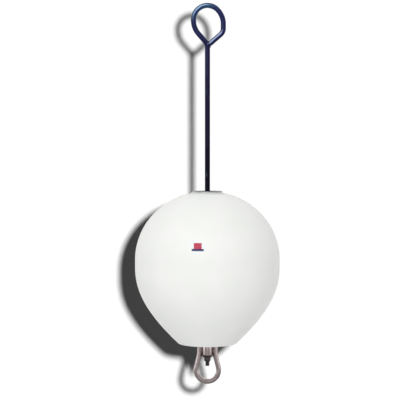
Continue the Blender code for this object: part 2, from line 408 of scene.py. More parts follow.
class BentBar:
    """A round bar that is drawn out and bent step by step in the XZ plane."""

    BEND_STEP = math.radians(2.5)

    def __init__(self, start: Vector, heading: Vector, radius: float, sides: int) -> None:
        """Start with a flat round end.

        Args:
            start: Middle of the bar's first end.
            heading: The way in which the bar runs.
            radius: The bar's radius.
            sides: Number of flats round the bar.
        """
        self.bm = bmesh.new()
        self.point = Vector(start)
        self.heading = Vector(heading).normalized()
        self.radius = radius
        self.along = 0.0
        self.stations: list[Station] = []
        self.rim = draw_circle(self.bm, self.point, self.heading, radius, sides, filled=True)
        self.note_station()

    def note_station(self) -> None:
        """Remember this place along the bar."""
        self.stations.append(Station(self.point.copy(), self.heading.copy(), self.along))

    def draw(self, length: float, end_radius: float | None = None) -> "BentBar":
        """Draw the bar straight out.

        Args:
            length: How far it is drawn.
            end_radius: The radius that it tapers or steps to, if it does.

        Returns:
            The bar.
        """
        made = bmesh.ops.extrude_edge_only(self.bm, edges=self.rim)["geom"]
        verts = [part for part in made if isinstance(part, bmesh.types.BMVert)]
        ring = set(verts)
        edges = [part for part in made if isinstance(part, bmesh.types.BMEdge)]
        self.rim = [edge for edge in edges if ring.issuperset(edge.verts)]
        bmesh.ops.translate(self.bm, verts=verts, vec=self.heading * length)
        self.point = self.point + self.heading * length
        self.along += abs(length)
        if end_radius is not None:
            to_middle = Matrix.Translation(-self.point)
            share = end_radius / self.radius
            bmesh.ops.scale(self.bm, verts=verts, vec=Vector((share,) * 3), space=to_middle)
            self.radius = end_radius
        self.note_station()
        return self

    def bend(self, bend_radius: float, angle: float) -> "BentBar":
        """Bend the bar to the right, seen along +Y.

        Args:
            bend_radius: Radius of the bend on the bar's centreline.
            angle: How far it bends, below zero for a bend to the left.

        Returns:
            The bar.
        """
        steps = max(2, round(abs(angle) / self.BEND_STEP))
        centre = self.point + right_of(self.heading) * math.copysign(bend_radius, angle)
        rim_verts = list({vert for edge in self.rim for vert in edge.verts})
        made = bmesh.ops.spin(
            self.bm,
            geom=rim_verts + self.rim,
            cent=centre,
            axis=(0, 1, 0),
            angle=angle,
            steps=steps,
        )
        self.rim = [part for part in made["geom_last"] if isinstance(part, bmesh.types.BMEdge)]
        turn = Matrix.Rotation(angle / steps, 3, "Y")
        for _ in range(steps):
            self.point = centre + turn @ (self.point - centre)
            self.heading = turn @ self.heading
            self.along += bend_radius * abs(angle) / steps
            self.note_station()
        return self

    def finish(self) -> bmesh.types.BMesh:
        """Close the open end.

        Returns:
            The closed shell.
        """
        bmesh.ops.contextual_create(self.bm, geom=self.rim)
        bmesh.ops.recalc_face_normals(self.bm, faces=self.bm.faces)
        return self.bm

    def mark_unbent(self, mesh: bpy.types.Mesh) -> None:
        """Write on each vertex of a mesh where it lies on the bar before it was bent.

        Args:
            mesh: The mesh that the bar became.
        """
        tree = KDTree(len(self.stations))
        for index, station in enumerate(self.stations):
            tree.insert(station.point, index)
        tree.balance()
        places = mesh.attributes.new(BAR_PLACE, "FLOAT_VECTOR", "POINT")
        for vert in mesh.vertices:
            station = self.stations[tree.find(vert.co)[1]]
            places.data[vert.index].vector = station.unbent(vert.co)


@dataclass
class WeldBead:
    """A weld bead with the ripples that its pools leave.

    Attributes:
        radius: The bead's mean radius.
        ripple: Depth of the ripples.
        pitch: Distance from one ripple to the next.
        sides: Number of flats round the bead.
        steps: Rings in each ripple.
        tip_share: Share of the radius that a straight bead's ends taper to.
    """

    radius: float
    ripple: float = 0.00016
    pitch: float = 0.0017
    sides: int = 14
    steps: int = 5
    tip_share: float = 0.45

    def radius_at(self, ring: int) -> float:
        """The bead's radius at one of its rings: round over each pool, with a groove between two pools."""
        share = (ring % self.steps) / self.steps
        return self.radius + self.ripple * (math.sin(math.pi * share) - 0.5)

    def along(self, start: Vector, end: Vector) -> bmesh.types.BMesh:
        """A straight bead, each end tapered over the length of one ripple.

        Args:
            start: Middle of the first end.
            end: Middle of the last end.

        Returns:
            The closed shell.
        """
        run = (end - start).length
        count = self.steps * max(1, round(run / self.pitch))
        heading = (end - start).normalized()
        bar = BentBar(start, heading, self.radius * self.tip_share, self.sides)
        for ring in range(1, count + 1):
            from_end = min(1.0, min(ring, count - ring) / self.steps)
            share = self.tip_share + (1 - self.tip_share) * math.sin(math.pi / 2 * from_end)
            bar.draw(run / count, self.radius_at(ring) * share)
        return bar.finish()

    def round_ring(self, loop: Sequence[Vector]) -> bmesh.types.BMesh:
        """A bead along a closed loop.

        Args:
            loop: Points round the loop, evenly spaced.

        Returns:
            The closed shell.
        """
        bm = bmesh.new()
        rims = []
        count = len(loop)
        for index, point in enumerate(loop):
            heading = (loop[(index + 1) % count] - loop[index - 1]).normalized()
            rims.append(draw_circle(bm, point, heading, self.radius_at(index), self.sides, filled=False))
        for rim, following in zip(rims, rims[1:] + rims[:1]):
            bmesh.ops.bridge_loops(bm, edges=rim + following)
        bmesh.ops.recalc_face_normals(bm, faces=bm.faces)
        return bm


@dataclass
class ScrewThread:
    """A metric screw thread on the buoy's axis, with a chamfered lower end.

    Attributes:
        major_radius: Radius over the thread's crests.
        pitch: Rise of one turn.
        top: Upper end of the thread.
        end: Lower end of the thread.
        chamfer: Height of the chamfer at the lower end.
        steps: Number of steps in one turn.
        depth_share: The thread's depth as a share of its pitch, for flanks at 60 degrees to each other.
    """

    major_radius: float
    pitch: float
    top: float
    end: float
    chamfer: float
    steps: int = 48
    depth_share: float = 0.6134

    @property
    def root_radius(self) -> float:
        """Radius of the thread's root."""
        return self.major_radius - self.depth_share * self.pitch

    def ridge(self) -> list[Corner]:
        """Lay out the thread's section, longer than the thread by a turn or more at each end.

        Returns:
            The section's (r, z) points, from the lowest up.
        """
        root_flat, crest_flat = self.pitch / 4, self.pitch / 8
        flank = (self.pitch - root_flat - crest_flat) / 2
        turns = math.ceil((self.top - self.end) / self.pitch) + 3
        lowest = self.end - 1.5 * self.pitch
        points = []
        for turn in range(turns):
            base = lowest + turn * self.pitch
            crest = base + root_flat + flank
            points += [(self.root_radius, base), (self.root_radius, base + root_flat)]
            points += [(self.major_radius, crest), (self.major_radius, crest + crest_flat)]
        return points

    def envelope(self) -> bmesh.types.BMesh:
        """Turn the blank that the thread is trimmed to.

        Returns:
            The closed shell.
        """
        outer = self.major_radius + self.pitch / 8
        tip = self.major_radius - self.chamfer
        bar = BentBar(Vector((0, 0, self.end)), UP, tip, self.steps)
        bar.draw(outer - tip, outer)
        bar.draw(self.top - self.end - (outer - tip))
        return bar.finish()

    def build(self) -> bmesh.types.BMesh:
        """Spin the section up a helix, cut both ends square and trim it to the blank.

        Returns:
            The closed shell.
        """
        bm = bmesh.new()
        line = [bm.verts.new((r, 0, z)) for r, z in self.ridge()]
        edges = [bm.edges.new(pair) for pair in zip(line, line[1:])]
        bmesh.ops.spin(
            bm,
            geom=line + edges,
            cent=(0, 0, 0),
            axis=UP,
            dvec=UP * (self.pitch / self.steps),
            angle=math.tau,
            steps=self.steps,
        )
        bmesh.ops.remove_doubles(bm, verts=bm.verts, dist=NEAR)
        for level, outwards in ((self.end - self.pitch / 4, DOWN), (self.top + self.pitch / 4, UP)):
            cut_off(bm, UP * level, outwards)
            rim = [edge for edge in bm.edges if edge.is_boundary and abs(edge.verts[0].co.z - level) < NEAR]
            bmesh.ops.contextual_create(bm, geom=rim)
        bmesh.ops.recalc_face_normals(bm, faces=bm.faces)
        return combined(bm, [self.envelope()], Join.INTERSECT)


def place_piece(
    name: str,
    bm: bmesh.types.BMesh,
    body: Body,
    finish: bpy.types.Material,
    stands_for: str | None = None,
) -> bpy.types.Object:
    """Make a finished piece of the buoy and let it ride on its body.

    Args:
        name: The piece's name.
        bm: The piece's shell, in place.
        body: The body that carries it.
        finish: The piece's material.
        stands_for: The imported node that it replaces, if it does.

    Returns:
        The piece.
    """
    mesh = mesh_of(name, bm)
    mesh.shade_smooth()
    mesh.set_sharp_from_angle(angle=SMOOTH_BELOW)
    mesh.materials.append(finish)
    piece = put_in_scene(name, mesh)
    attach(piece, body.value)
    if stands_for:
        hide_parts(stands_for)
    LOG.info("%s: %d faces on %s", name, len(mesh.polygons), body.value)
    return piece


# Material tools


class NodeSheet:
    """A node tree that is being laid out."""

    def __init__(self, tree: bpy.types.NodeTree) -> None:
        """Keep the tree that nodes are added to."""
        self.tree = tree

    def add(self, kind: str, feeds: dict[str | int, Feed] | None = None, **options: object) -> bpy.types.Node:
        """Add a node.

        Args:
            kind: The node's type.
            feeds: What goes into its inputs, by name or number: an output socket to link or a plain value.
            options: The node's own settings.

        Returns:
            The node.
        """
        node = self.tree.nodes.new(kind)
        for name, value in options.items():
            setattr(node, name, value)
        for key, value in (feeds or {}).items():
            self.feed(node.inputs[key], value)
        return node

    def feed(self, socket: bpy.types.NodeSocket, value: Feed) -> None:
        """Link an output to an input, or set the input's own value.

        Args:
            socket: The input.
            value: The output to link or the plain value.
        """
        if isinstance(value, bpy.types.NodeSocket):
            self.tree.links.new(value, socket)
        else:
            socket.default_value = value

    def maths(self, operation: str, *values: Feed) -> bpy.types.NodeSocket:
        """Work out a number from one, two or three others."""
        return self.add("ShaderNodeMath", dict(enumerate(values)), operation=operation).outputs[0]

    def vector_maths(self, operation: str, *values: Feed) -> bpy.types.NodeSocket:
        """Work out a vector from one or two others."""
        return self.add("ShaderNodeVectorMath", dict(enumerate(values)), operation=operation).outputs[0]

    def measure(self, operation: str, *values: Feed) -> bpy.types.NodeSocket:
        """Work out a number from one or two vectors."""
        return self.add("ShaderNodeVectorMath", dict(enumerate(values)), operation=operation).outputs["Value"]

    def joined(self, x: Feed = 0.0, y: Feed = 0.0, z: Feed = 0.0) -> bpy.types.NodeSocket:
        """Join three numbers to a vector."""
        return self.add("ShaderNodeCombineXYZ", {"X": x, "Y": y, "Z": z}).outputs[0]

    def parted(self, vector: Feed) -> bpy.types.bpy_prop_collection:
        """Part a vector into its X, Y and Z."""
        return self.add("ShaderNodeSeparateXYZ", {0: vector}).outputs

    def spread(self, value: Feed, low: Feed, high: Feed, to_low: Feed, to_high: Feed) -> bpy.types.NodeSocket:
        """Map a number from one range to another, held at both ends."""
        feeds = {"Value": value, "From Min": low, "From Max": high, "To Min": to_low, "To Max": to_high}
        return self.add("ShaderNodeMapRange", feeds).outputs["Result"]

    def rise(self, value: Feed, low: Feed, high: Feed) -> bpy.types.NodeSocket:
        """How far a number has come from a low value to a high one: 0 before, 1 beyond."""
        return self.spread(value, low, high, 0.0, 1.0)

    def between(self, share: Feed, at_none: Feed, at_full: Feed) -> bpy.types.NodeSocket:
        """The number that lies a share of the way from one to another."""
        return self.spread(share, 0.0, 1.0, at_none, at_full)

    def blend(self, share: Feed, first: Feed, second: Feed) -> bpy.types.NodeSocket:
        """Blend two colours."""
        return self.add("ShaderNodeMix", {0: share, 6: first, 7: second}, data_type="RGBA").outputs[2]

    def noise(self, place: Feed, scale: Feed, detail: float, roughness: float = 0.5) -> bpy.types.NodeSocket:
        """Noise from 0 to 1 at a place."""
        feeds = {"Vector": place, "Scale": scale, "Detail": detail, "Roughness": roughness}
        return self.add("ShaderNodeTexNoise", feeds).outputs["Fac"]

    def bump(self, height: Feed, distance: float, strength: float) -> bpy.types.NodeSocket:
        """Turn a height into a normal."""
        feeds = {"Height": height, "Distance": distance, "Strength": strength}
        return self.add("ShaderNodeBump", feeds).outputs["Normal"]


class EffectShelf:
    """Builds each shared effect once and hands it to the finishes."""

    def __init__(self) -> None:
        """Start with an empty shelf."""
        self.made: dict[Effect, bpy.types.NodeTree] = {}
        self.makers = {
            Effect.MOTTLE: self.mottle,
            Effect.PEEL: self.peel,
            Effect.TURNING: self.turning,
            Effect.DRAWN: self.drawn,
            Effect.SPANGLE: self.spangle,
            Effect.SCUFFS: self.scuffs,
            Effect.WINDOW: self.window,
            Effect.RING: self.ring,
        }

    def group(self, effect: Effect) -> bpy.types.NodeTree:
        """Give a finish the node group of an effect, built when it is first asked for.

        Args:
            effect: The effect.

        Returns:
            Its node group.
        """
        if effect not in self.made:
            self.made[effect] = self.makers[effect]()
        return self.made[effect]

    def begin(
        self,
        effect: Effect,
        inputs: dict[str, float | tuple[float, float, float]],
        outputs: Sequence[str],
    ) -> tuple[NodeSheet, dict[str, bpy.types.NodeSocket], bpy.types.Node]:
        """Start a node group.

        Args:
            effect: The effect that it holds.
            inputs: The default of each input; a tuple makes it a vector.
            outputs: Names of the outputs, all numbers.

        Returns:
            The sheet, the inputs' sockets by name and the output node.
        """
        tree = bpy.data.node_groups.new(effect.value, "ShaderNodeTree")
        for label, default in inputs.items():
            kind = "NodeSocketVector" if isinstance(default, tuple) else "NodeSocketFloat"
            tree.interface.new_socket(label, in_out="INPUT", socket_type=kind).default_value = default
        for label in outputs:
            tree.interface.new_socket(label, in_out="OUTPUT", socket_type="NodeSocketFloat")
        sheet = NodeSheet(tree)
        source = sheet.add("NodeGroupInput")
        return sheet, {label: source.outputs[label] for label in inputs}, sheet.add("NodeGroupOutput")

    def mottle(self) -> bpy.types.NodeTree:
        """Soft cloudy patches.

        Returns:
            The node group.
        """
        inputs = {"Place": (0.0, 0.0, 0.0), "Scale": 10.0, "Low": 0.35, "High": 0.65}
        sheet, into, out = self.begin(Effect.MOTTLE, inputs, ["Mask"])
        cloud = sheet.noise(into["Place"], into["Scale"], detail=4.0, roughness=0.55)
        sheet.feed(out.inputs["Mask"], sheet.rise(cloud, into["Low"], into["High"]))
        return sheet.tree

    def peel(self) -> bpy.types.NodeTree:
        """The fine dimples and slow waves of a moulded or dipped skin.

        Returns:
            The node group.
        """
        inputs = {"Place": (0.0, 0.0, 0.0), "Dimples": 400.0, "Waves": 25.0, "Wave Share": 0.5}
        sheet, into, out = self.begin(Effect.PEEL, inputs, ["Height"])
        dimples = sheet.noise(into["Place"], into["Dimples"], detail=1.5)
        waves = sheet.noise(into["Place"], into["Waves"], detail=1.0)
        kept = sheet.maths("MULTIPLY", dimples, sheet.maths("SUBTRACT", 1.0, into["Wave Share"]))
        height = sheet.maths("MULTIPLY_ADD", waves, into["Wave Share"], kept)
        sheet.feed(out.inputs["Height"], height)
        return sheet.tree

    def turning(self) -> bpy.types.NodeTree:
        """The rings that a lathe leaves round the buoy's axis.

        Returns:
            The node group.
        """
        inputs = {"Place": (0.0, 0.0, 0.0), "Scale": 1500.0}
        sheet, into, out = self.begin(Effect.TURNING, inputs, ["Rings"])
        parts = sheet.parted(into["Place"])
        off_axis = sheet.measure("LENGTH", sheet.joined(parts["X"], parts["Y"]))
        drift = sheet.maths("MULTIPLY", parts["X"], 0.02)
        place = sheet.joined(off_axis, parts["Z"], drift)
        sheet.feed(out.inputs["Rings"], sheet.noise(place, into["Scale"], detail=3.0, roughness=0.6))
        return sheet.tree

    def drawn(self) -> bpy.types.NodeTree:
        """The lengthwise grain of a drawn bar.

        Returns:
            The node group.
        """
        inputs = {"Place": (0.0, 0.0, 0.0), "Fineness": 900.0, "Length Share": 0.03}
        sheet, into, out = self.begin(Effect.DRAWN, inputs, ["Grain"])
        place = sheet.vector_maths("MULTIPLY", into["Place"], sheet.joined(1.0, 1.0, into["Length Share"]))
        sheet.feed(out.inputs["Grain"], sheet.noise(place, into["Fineness"], detail=4.0, roughness=0.6))
        return sheet.tree

    def spangle(self) -> bpy.types.NodeTree:
        """The crystal patches of hot zinc.

        Returns:
            The node group.
        """
        inputs = {"Place": (0.0, 0.0, 0.0), "Scale": 160.0}
        sheet, into, out = self.begin(Effect.SPANGLE, inputs, ["Patch", "Height"])
        shift = sheet.noise(into["Place"], 300.0, detail=2.0)
        place = sheet.vector_maths("ADD", into["Place"], sheet.maths("MULTIPLY", shift, 0.004))
        cells = sheet.add("ShaderNodeTexVoronoi", {"Vector": place, "Scale": into["Scale"]})
        patch = sheet.add("ShaderNodeSeparateColor", {0: cells.outputs["Color"]}).outputs[0]
        sheet.feed(out.inputs["Patch"], patch)
        sheet.feed(out.inputs["Height"], sheet.maths("MULTIPLY", patch, cells.outputs["Distance"]))
        return sheet.tree

    def scuffs(self) -> bpy.types.NodeTree:
        """Sparse fine scratches.

        Returns:
            The node group.
        """
        inputs = {"Place": (0.0, 0.0, 0.0), "Scale": 60.0, "Width": 0.02, "Spread": 0.6}
        sheet, into, out = self.begin(Effect.SCUFFS, inputs, ["Mask"])
        drawn_out = sheet.vector_maths("MULTIPLY", into["Place"], (1.0, 1.0, 0.22))
        lean = {"Vector": drawn_out, "Angle": 0.7}
        leaning = sheet.add("ShaderNodeVectorRotate", lean, rotation_type="Y_AXIS").outputs[0]
        feeds = {"Vector": leaning, "Scale": into["Scale"]}
        lines = sheet.add("ShaderNodeTexVoronoi", feeds, feature="DISTANCE_TO_EDGE").outputs["Distance"]
        thin = sheet.maths("LESS_THAN", lines, into["Width"])
        patches = sheet.noise(into["Place"], 35.0, detail=2.0)
        here = sheet.maths("GREATER_THAN", patches, into["Spread"])
        sheet.feed(out.inputs["Mask"], sheet.maths("MULTIPLY", thin, here))
        return sheet.tree

    def window(self) -> bpy.types.NodeTree:
        """A box with soft sides: 1 inside it and 0 outside.

        Returns:
            The node group.
        """
        inputs = {
            "Place": (0.0, 0.0, 0.0),
            "Centre": (0.0, 0.0, 0.0),
            "Half Size": (1.0, 1.0, 1.0),
            "Softness": 0.001,
        }
        sheet, into, out = self.begin(Effect.WINDOW, inputs, ["Mask"])
        offset = sheet.vector_maths("ABSOLUTE", sheet.vector_maths("SUBTRACT", into["Place"], into["Centre"]))
        beyond = sheet.vector_maths("SUBTRACT", offset, into["Half Size"])
        inside = []
        for part in sheet.parted(beyond):
            steps = sheet.maths("DIVIDE", part, into["Softness"])
            inside.append(sheet.spread(steps, -0.5, 0.5, 1.0, 0.0))
        mask = sheet.maths("MULTIPLY", sheet.maths("MULTIPLY", inside[0], inside[1]), inside[2])
        sheet.feed(out.inputs["Mask"], mask)
        return sheet.tree

    def ring(self) -> bpy.types.NodeTree:
        """A soft line round the buoy's axis: 1 on the line and 0 beyond its reach.

        Returns:
            The node group.
        """
        inputs = {"Place": (0.0, 0.0, 0.0), "Radius": 0.04, "Level": 0.0, "Reach": 0.003}
        sheet, into, out = self.begin(Effect.RING, inputs, ["Mask"])
        parts = sheet.parted(into["Place"])
        off_axis = sheet.measure("LENGTH", sheet.joined(parts["X"], parts["Y"]))
        aside = sheet.maths("SUBTRACT", off_axis, into["Radius"])
        above = sheet.maths("SUBTRACT", parts["Z"], into["Level"])
        away = sheet.measure("LENGTH", sheet.joined(aside, above))
        mask = sheet.between(sheet.maths("DIVIDE", away, into["Reach"]), 1.0, 0.0)
        sheet.feed(out.inputs["Mask"], sheet.maths("POWER", mask, 1.5))
        return sheet.tree


class MaterialSheet(NodeSheet):
    """A material that is being laid out round its Principled shader."""

    def __init__(self, name: str, shelf: EffectShelf) -> None:
        """Start a material.

        Args:
            name: The material's name.
            shelf: Where its shared effects come from.
        """
        self.material = bpy.data.materials.new(name)
        self.material.use_nodes = True
        super().__init__(self.material.node_tree)
        self.shelf = shelf
        self.shader = self.tree.nodes["Principled BSDF"]
        self.place = self.add("ShaderNodeTexCoord").outputs["Object"]

    def effect(self, effect: Effect, feeds: dict[str, Feed]) -> bpy.types.bpy_prop_collection:
        """Place a shared effect with this material's own values.

        Args:
            effect: The effect.
            feeds: What goes into its inputs; its place is the material's own where none is given.

        Returns:
            The effect's outputs.
        """
        feeds = {"Place": self.place, **feeds}
        return self.add("ShaderNodeGroup", feeds, node_tree=self.shelf.group(effect)).outputs

    def bar_place(self) -> bpy.types.NodeSocket:
        """The place on the bar before it was bent."""
        return self.add("ShaderNodeAttribute", attribute_name=BAR_PLACE).outputs["Vector"]

    def dress(self, feeds: dict[str, Feed]) -> bpy.types.Material:
        """Feed the shader's sockets.

        Args:
            feeds: What goes into each of them.

        Returns:
            The finished material.
        """
        for name, value in feeds.items():
            self.feed(self.shader.inputs[name], value)
        return self.material


def opaque(colour: Colour) -> tuple[float, float, float, float]:
    """A colour with full opacity."""
    return (*colour, 1.0)


@dataclass(frozen=True)
class MouldedSkin:
    """The float's white moulded skin.

    Attributes:
        pale: Its colour where it is palest.
        shade: Its colour in its faint clouds.
        crease_shade: Colour of the painted shade in its crease.
        crease_step: How far outside and under the shelf's inner corner the painted shade lies darkest.
        crease_reach: How far the painted shade reaches from there.
    """

    pale: Colour = (0.885, 0.893, 0.868)
    shade: Colour = (0.855, 0.868, 0.840)
    crease_shade: Colour = (0.56, 0.58, 0.56)
    crease_step: tuple[float, float] = (0.002, -0.0006)
    crease_reach: float = 0.0050

    def material(self, shelf: EffectShelf, seat_radius: float, shelf_level: float) -> bpy.types.Material:
        """Satin plastic with faint clouds, dimples, slow waves and painted shade in the crease round its seat.

        Args:
            shelf: Where the shared effects come from.
            seat_radius: Radius of the seat.
            shelf_level: Level of the shelf round it.

        Returns:
            The material.
        """
        sheet = MaterialSheet("white_moulded_skin", shelf)
        clouds = sheet.effect(Effect.MOTTLE, {"Scale": 11.0})["Mask"]
        grain = sheet.effect(Effect.MOTTLE, {"Scale": 170.0})["Mask"]
        skin = {"Dimples": 430.0, "Waves": 34.0, "Wave Share": 0.62}
        height = sheet.effect(Effect.PEEL, skin)["Height"]
        crease = {
            "Radius": seat_radius + self.crease_step[0],
            "Level": shelf_level + self.crease_step[1],
            "Reach": self.crease_reach,
        }
        # Painted shade: the skin is darkened in the crease round the seat.
        crease_shade = sheet.effect(Effect.RING, crease)["Mask"]
        patchy_crease_shade = sheet.maths("MULTIPLY", crease_shade, sheet.between(clouds, 0.75, 1.0))
        skin_colour = sheet.blend(clouds, opaque(self.shade), opaque(self.pale))
        return sheet.dress(
            {
                "Base Color": sheet.blend(patchy_crease_shade, skin_colour, opaque(self.crease_shade)),
                "Roughness": sheet.between(grain, 0.42, 0.52),
                "Normal": sheet.bump(height, distance=0.0007, strength=0.15),
                "Specular IOR Level": 0.3,
            }
        )


@dataclass(frozen=True)
class NavyCoat:
    """The dark navy coating on the rod.

    Attributes:
        painted_sky_tint: Colour of the painted sky highlight at the eye's top and on the side away from its
            tail.
        blue: Its colour on the rest of the eye, the light end of the painted shading down the rod.
        violet: Its colour half way down the rod, part of the painted shading.
        dark: Its colour at the rod's foot, darkened there as painted shade.
        scuffed: Colour of its scuffs.
        sheen: Tint of its gloss.
        full_sky_tint_level: Level above which the painted sky highlight is full.
        sky_tint_level: Level above which the painted sky highlight begins.
        sky_tint_lean: How much the painted sky highlight leans: its change of level for each metre across.
        middle_level: Level of the violet.
        foot_shade_level: Level below which the painted shade at the foot is full.
    """

    painted_sky_tint: Colour = (0.022, 0.078, 0.165)
    blue: Colour = (0.019, 0.018, 0.102)
    violet: Colour = (0.014, 0.005, 0.043)
    dark: Colour = (0.0060, 0.0015, 0.0110)
    scuffed: Colour = (0.05, 0.06, 0.11)
    sheen: Colour = (0.53, 0.72, 1.0)
    full_sky_tint_level: float = 0.018
    sky_tint_level: float = -0.014
    sky_tint_lean: float = -0.45
    middle_level: float = -0.20
    foot_shade_level: float = -0.46

    def material(self, shelf: EffectShelf) -> bpy.types.Material:
        """Glossy coating with faint dimples and fine scuffs, painted lighter and bluer at the eye, darker
        towards the foot, with a painted sky highlight on the eye's top and one side.

        Args:
            shelf: Where the shared effects come from.

        Returns:
            The material.
        """
        sheet = MaterialSheet("navy_dip_coat", shelf)
        place = sheet.parted(sheet.place)
        clouds = sheet.effect(Effect.MOTTLE, {"Scale": 24.0})["Mask"]
        # Painted light and shade: the coat runs from blue at the eye through violet to near black at the rod's
        # foot.
        uneven = sheet.maths("MULTIPLY_ADD", sheet.maths("SUBTRACT", clouds, 0.5), 0.04, place["Z"])
        low_share = sheet.rise(uneven, self.foot_shade_level, self.middle_level)
        high_share = sheet.rise(uneven, self.middle_level, self.sky_tint_level)
        low = sheet.blend(low_share, opaque(self.dark), opaque(self.violet))
        scuffs = sheet.effect(Effect.SCUFFS, {"Scale": 90.0, "Width": 0.012})["Mask"]
        # Painted sky highlight: a lighter teal on the eye's top, leaning towards the side away from the tail.
        leaning = sheet.maths("MULTIPLY_ADD", place["X"], self.sky_tint_lean, uneven)
        sky_tint_share = sheet.rise(leaning, self.sky_tint_level, self.full_sky_tint_level)
        high = sheet.blend(sky_tint_share, opaque(self.blue), opaque(self.painted_sky_tint))
        colour = sheet.blend(high_share, low, high)
        scuffed = sheet.blend(sheet.maths("MULTIPLY", scuffs, 0.2), colour, opaque(self.scuffed))
        skin = {"Dimples": 520.0, "Waves": 60.0, "Wave Share": 0.35}
        dimples = sheet.effect(Effect.PEEL, skin)["Height"]
        return sheet.dress(
            {
                "Base Color": scuffed,
                "Roughness": sheet.maths("MULTIPLY_ADD", scuffs, 0.15, sheet.between(clouds, 0.20, 0.26)),
                "Normal": sheet.bump(dimples, distance=0.0002, strength=0.12),
                "Specular IOR Level": 0.5,
                "Specular Tint": opaque(self.sheen),
            }
        )


@dataclass(frozen=True)
class ZincPlate:
    """The galvanised finish of the two clamp plates.

    Attributes:
        bright: Colour of the brightest crystals.
        dull: Colour of the dullest ones.
        grime: Colour of the grime.
    """

    bright: Colour = (0.76, 0.77, 0.77)
    dull: Colour = (0.58, 0.59, 0.60)
    grime: Colour = (0.17, 0.17, 0.165)

    def material(self, shelf: EffectShelf, grimy_level: float) -> bpy.types.Material:
        """Dull metal with the crystal patches of hot zinc and faint lathe rings.

        Args:
            shelf: Where the shared effects come from.
            grimy_level: Level of the face on which grime has settled.

        Returns:
            The material.
        """
        sheet = MaterialSheet("zinc_coated_plate", shelf)
        crystal = sheet.effect(Effect.SPANGLE, {"Scale": 210.0})
        rings = sheet.effect(Effect.TURNING, {"Scale": 1200.0})["Rings"]
        clouds = sheet.effect(Effect.MOTTLE, {"Scale": 70.0})["Mask"]
        share = sheet.maths("MULTIPLY_ADD", clouds, 0.4, sheet.maths("MULTIPLY", crystal["Patch"], 0.6))
        height = sheet.maths("MULTIPLY_ADD", rings, 0.25, crystal["Height"])
        face = {
            "Centre": (0.0, 0.0, grimy_level + 0.0010),
            "Half Size": (1.0, 1.0, 0.0013),
            "Softness": 0.0003,
        }
        settled = sheet.effect(Effect.WINDOW, face)["Mask"]
        grime = sheet.maths("MULTIPLY", settled, sheet.between(clouds, 0.80, 1.0))
        zinc = sheet.blend(share, opaque(self.dull), opaque(self.bright))
        return sheet.dress(
            {
                "Base Color": sheet.blend(grime, zinc, opaque(self.grime)),
                "Metallic": sheet.between(grime, 0.4, 0.0),
                "Roughness": sheet.maths("MULTIPLY_ADD", grime, 0.45, sheet.between(share, 0.42, 0.28)),
                "Specular IOR Level": sheet.between(grime, 0.5, 0.1),
                "Normal": sheet.bump(height, distance=0.0002, strength=0.15),
            }
        )


@dataclass(frozen=True)
class BowSteel:
    """The bright, warm steel of the swivel bow.

    Attributes:
        bright: Its colour where it is brightest.
        warm: Its colour in its clouds.
        heat: Its tint beside the welds.
        grease_and_shade: Colour of the grease and painted shade at the sleeve's foot.
        sleeve_radius: Radius of the rim that the grease and painted shade lie on.
        welds_centre: Middle of the tinted stretches, as distances along each axis without a sign.
        welds_half_size: Half the size of such a stretch.
    """

    bright: Colour = (0.55, 0.49, 0.49)
    warm: Colour = (0.32, 0.25, 0.25)
    heat: Colour = (0.30, 0.19, 0.15)
    grease_and_shade: Colour = (0.065, 0.045, 0.045)
    sleeve_radius: float = 0.015
    welds_centre: tuple[float, float, float] = (0.0155, 0.0060, 0.944)
    welds_half_size: tuple[float, float, float] = (0.0035, 0.0050, 0.0150)

    def material(self, shelf: EffectShelf, rim_level: float) -> bpy.types.Material:
        """Steel with drawn grain, warm clouds, a heat tint beside its welds, and grease with painted shade at
        the sleeve's foot.

        Args:
            shelf: Where the shared effects come from.
            rim_level: Level of the sleeve's lower end.

        Returns:
            The material.
        """
        sheet = MaterialSheet("warm_bright_steel", shelf)
        grain = sheet.effect(Effect.DRAWN, {"Place": sheet.bar_place(), "Fineness": 1100.0})["Grain"]
        clouds = sheet.effect(Effect.MOTTLE, {"Scale": 75.0})["Mask"]
        scuffs = sheet.effect(Effect.SCUFFS, {"Scale": 160.0, "Width": 0.02, "Spread": 0.5})["Mask"]
        share = sheet.maths("MULTIPLY_ADD", grain, 0.4, sheet.maths("MULTIPLY", clouds, 0.45))
        colour = sheet.blend(share, opaque(self.warm), opaque(self.bright))
        both_sides = sheet.vector_maths("ABSOLUTE", sheet.place)
        near_welds = {
            "Place": both_sides,
            "Centre": self.welds_centre,
            "Half Size": self.welds_half_size,
            "Softness": 0.006,
        }
        tint = sheet.effect(Effect.WINDOW, near_welds)["Mask"]
        tinted = sheet.blend(sheet.maths("MULTIPLY", tint, 0.55), colour, opaque(self.heat))
        # Grease and painted shade darken the sleeve's foot above the washer.
        foot = {"Radius": self.sleeve_radius, "Level": rim_level, "Reach": 0.006}
        grease_and_shade_mask = sheet.spread(sheet.effect(Effect.RING, foot)["Mask"], 0.15, 0.45, 0.0, 0.92)
        rough = sheet.spread(grain, 0.3, 0.7, 0.24, 0.38)
        return sheet.dress(
            {
                "Base Color": sheet.blend(grease_and_shade_mask, tinted, opaque(self.grease_and_shade)),
                "Metallic": 1.0,
                "Roughness": sheet.maths("MULTIPLY_ADD", scuffs, 0.12, rough),
                "Normal": sheet.bump(grain, distance=0.00025, strength=0.25),
            }
        )


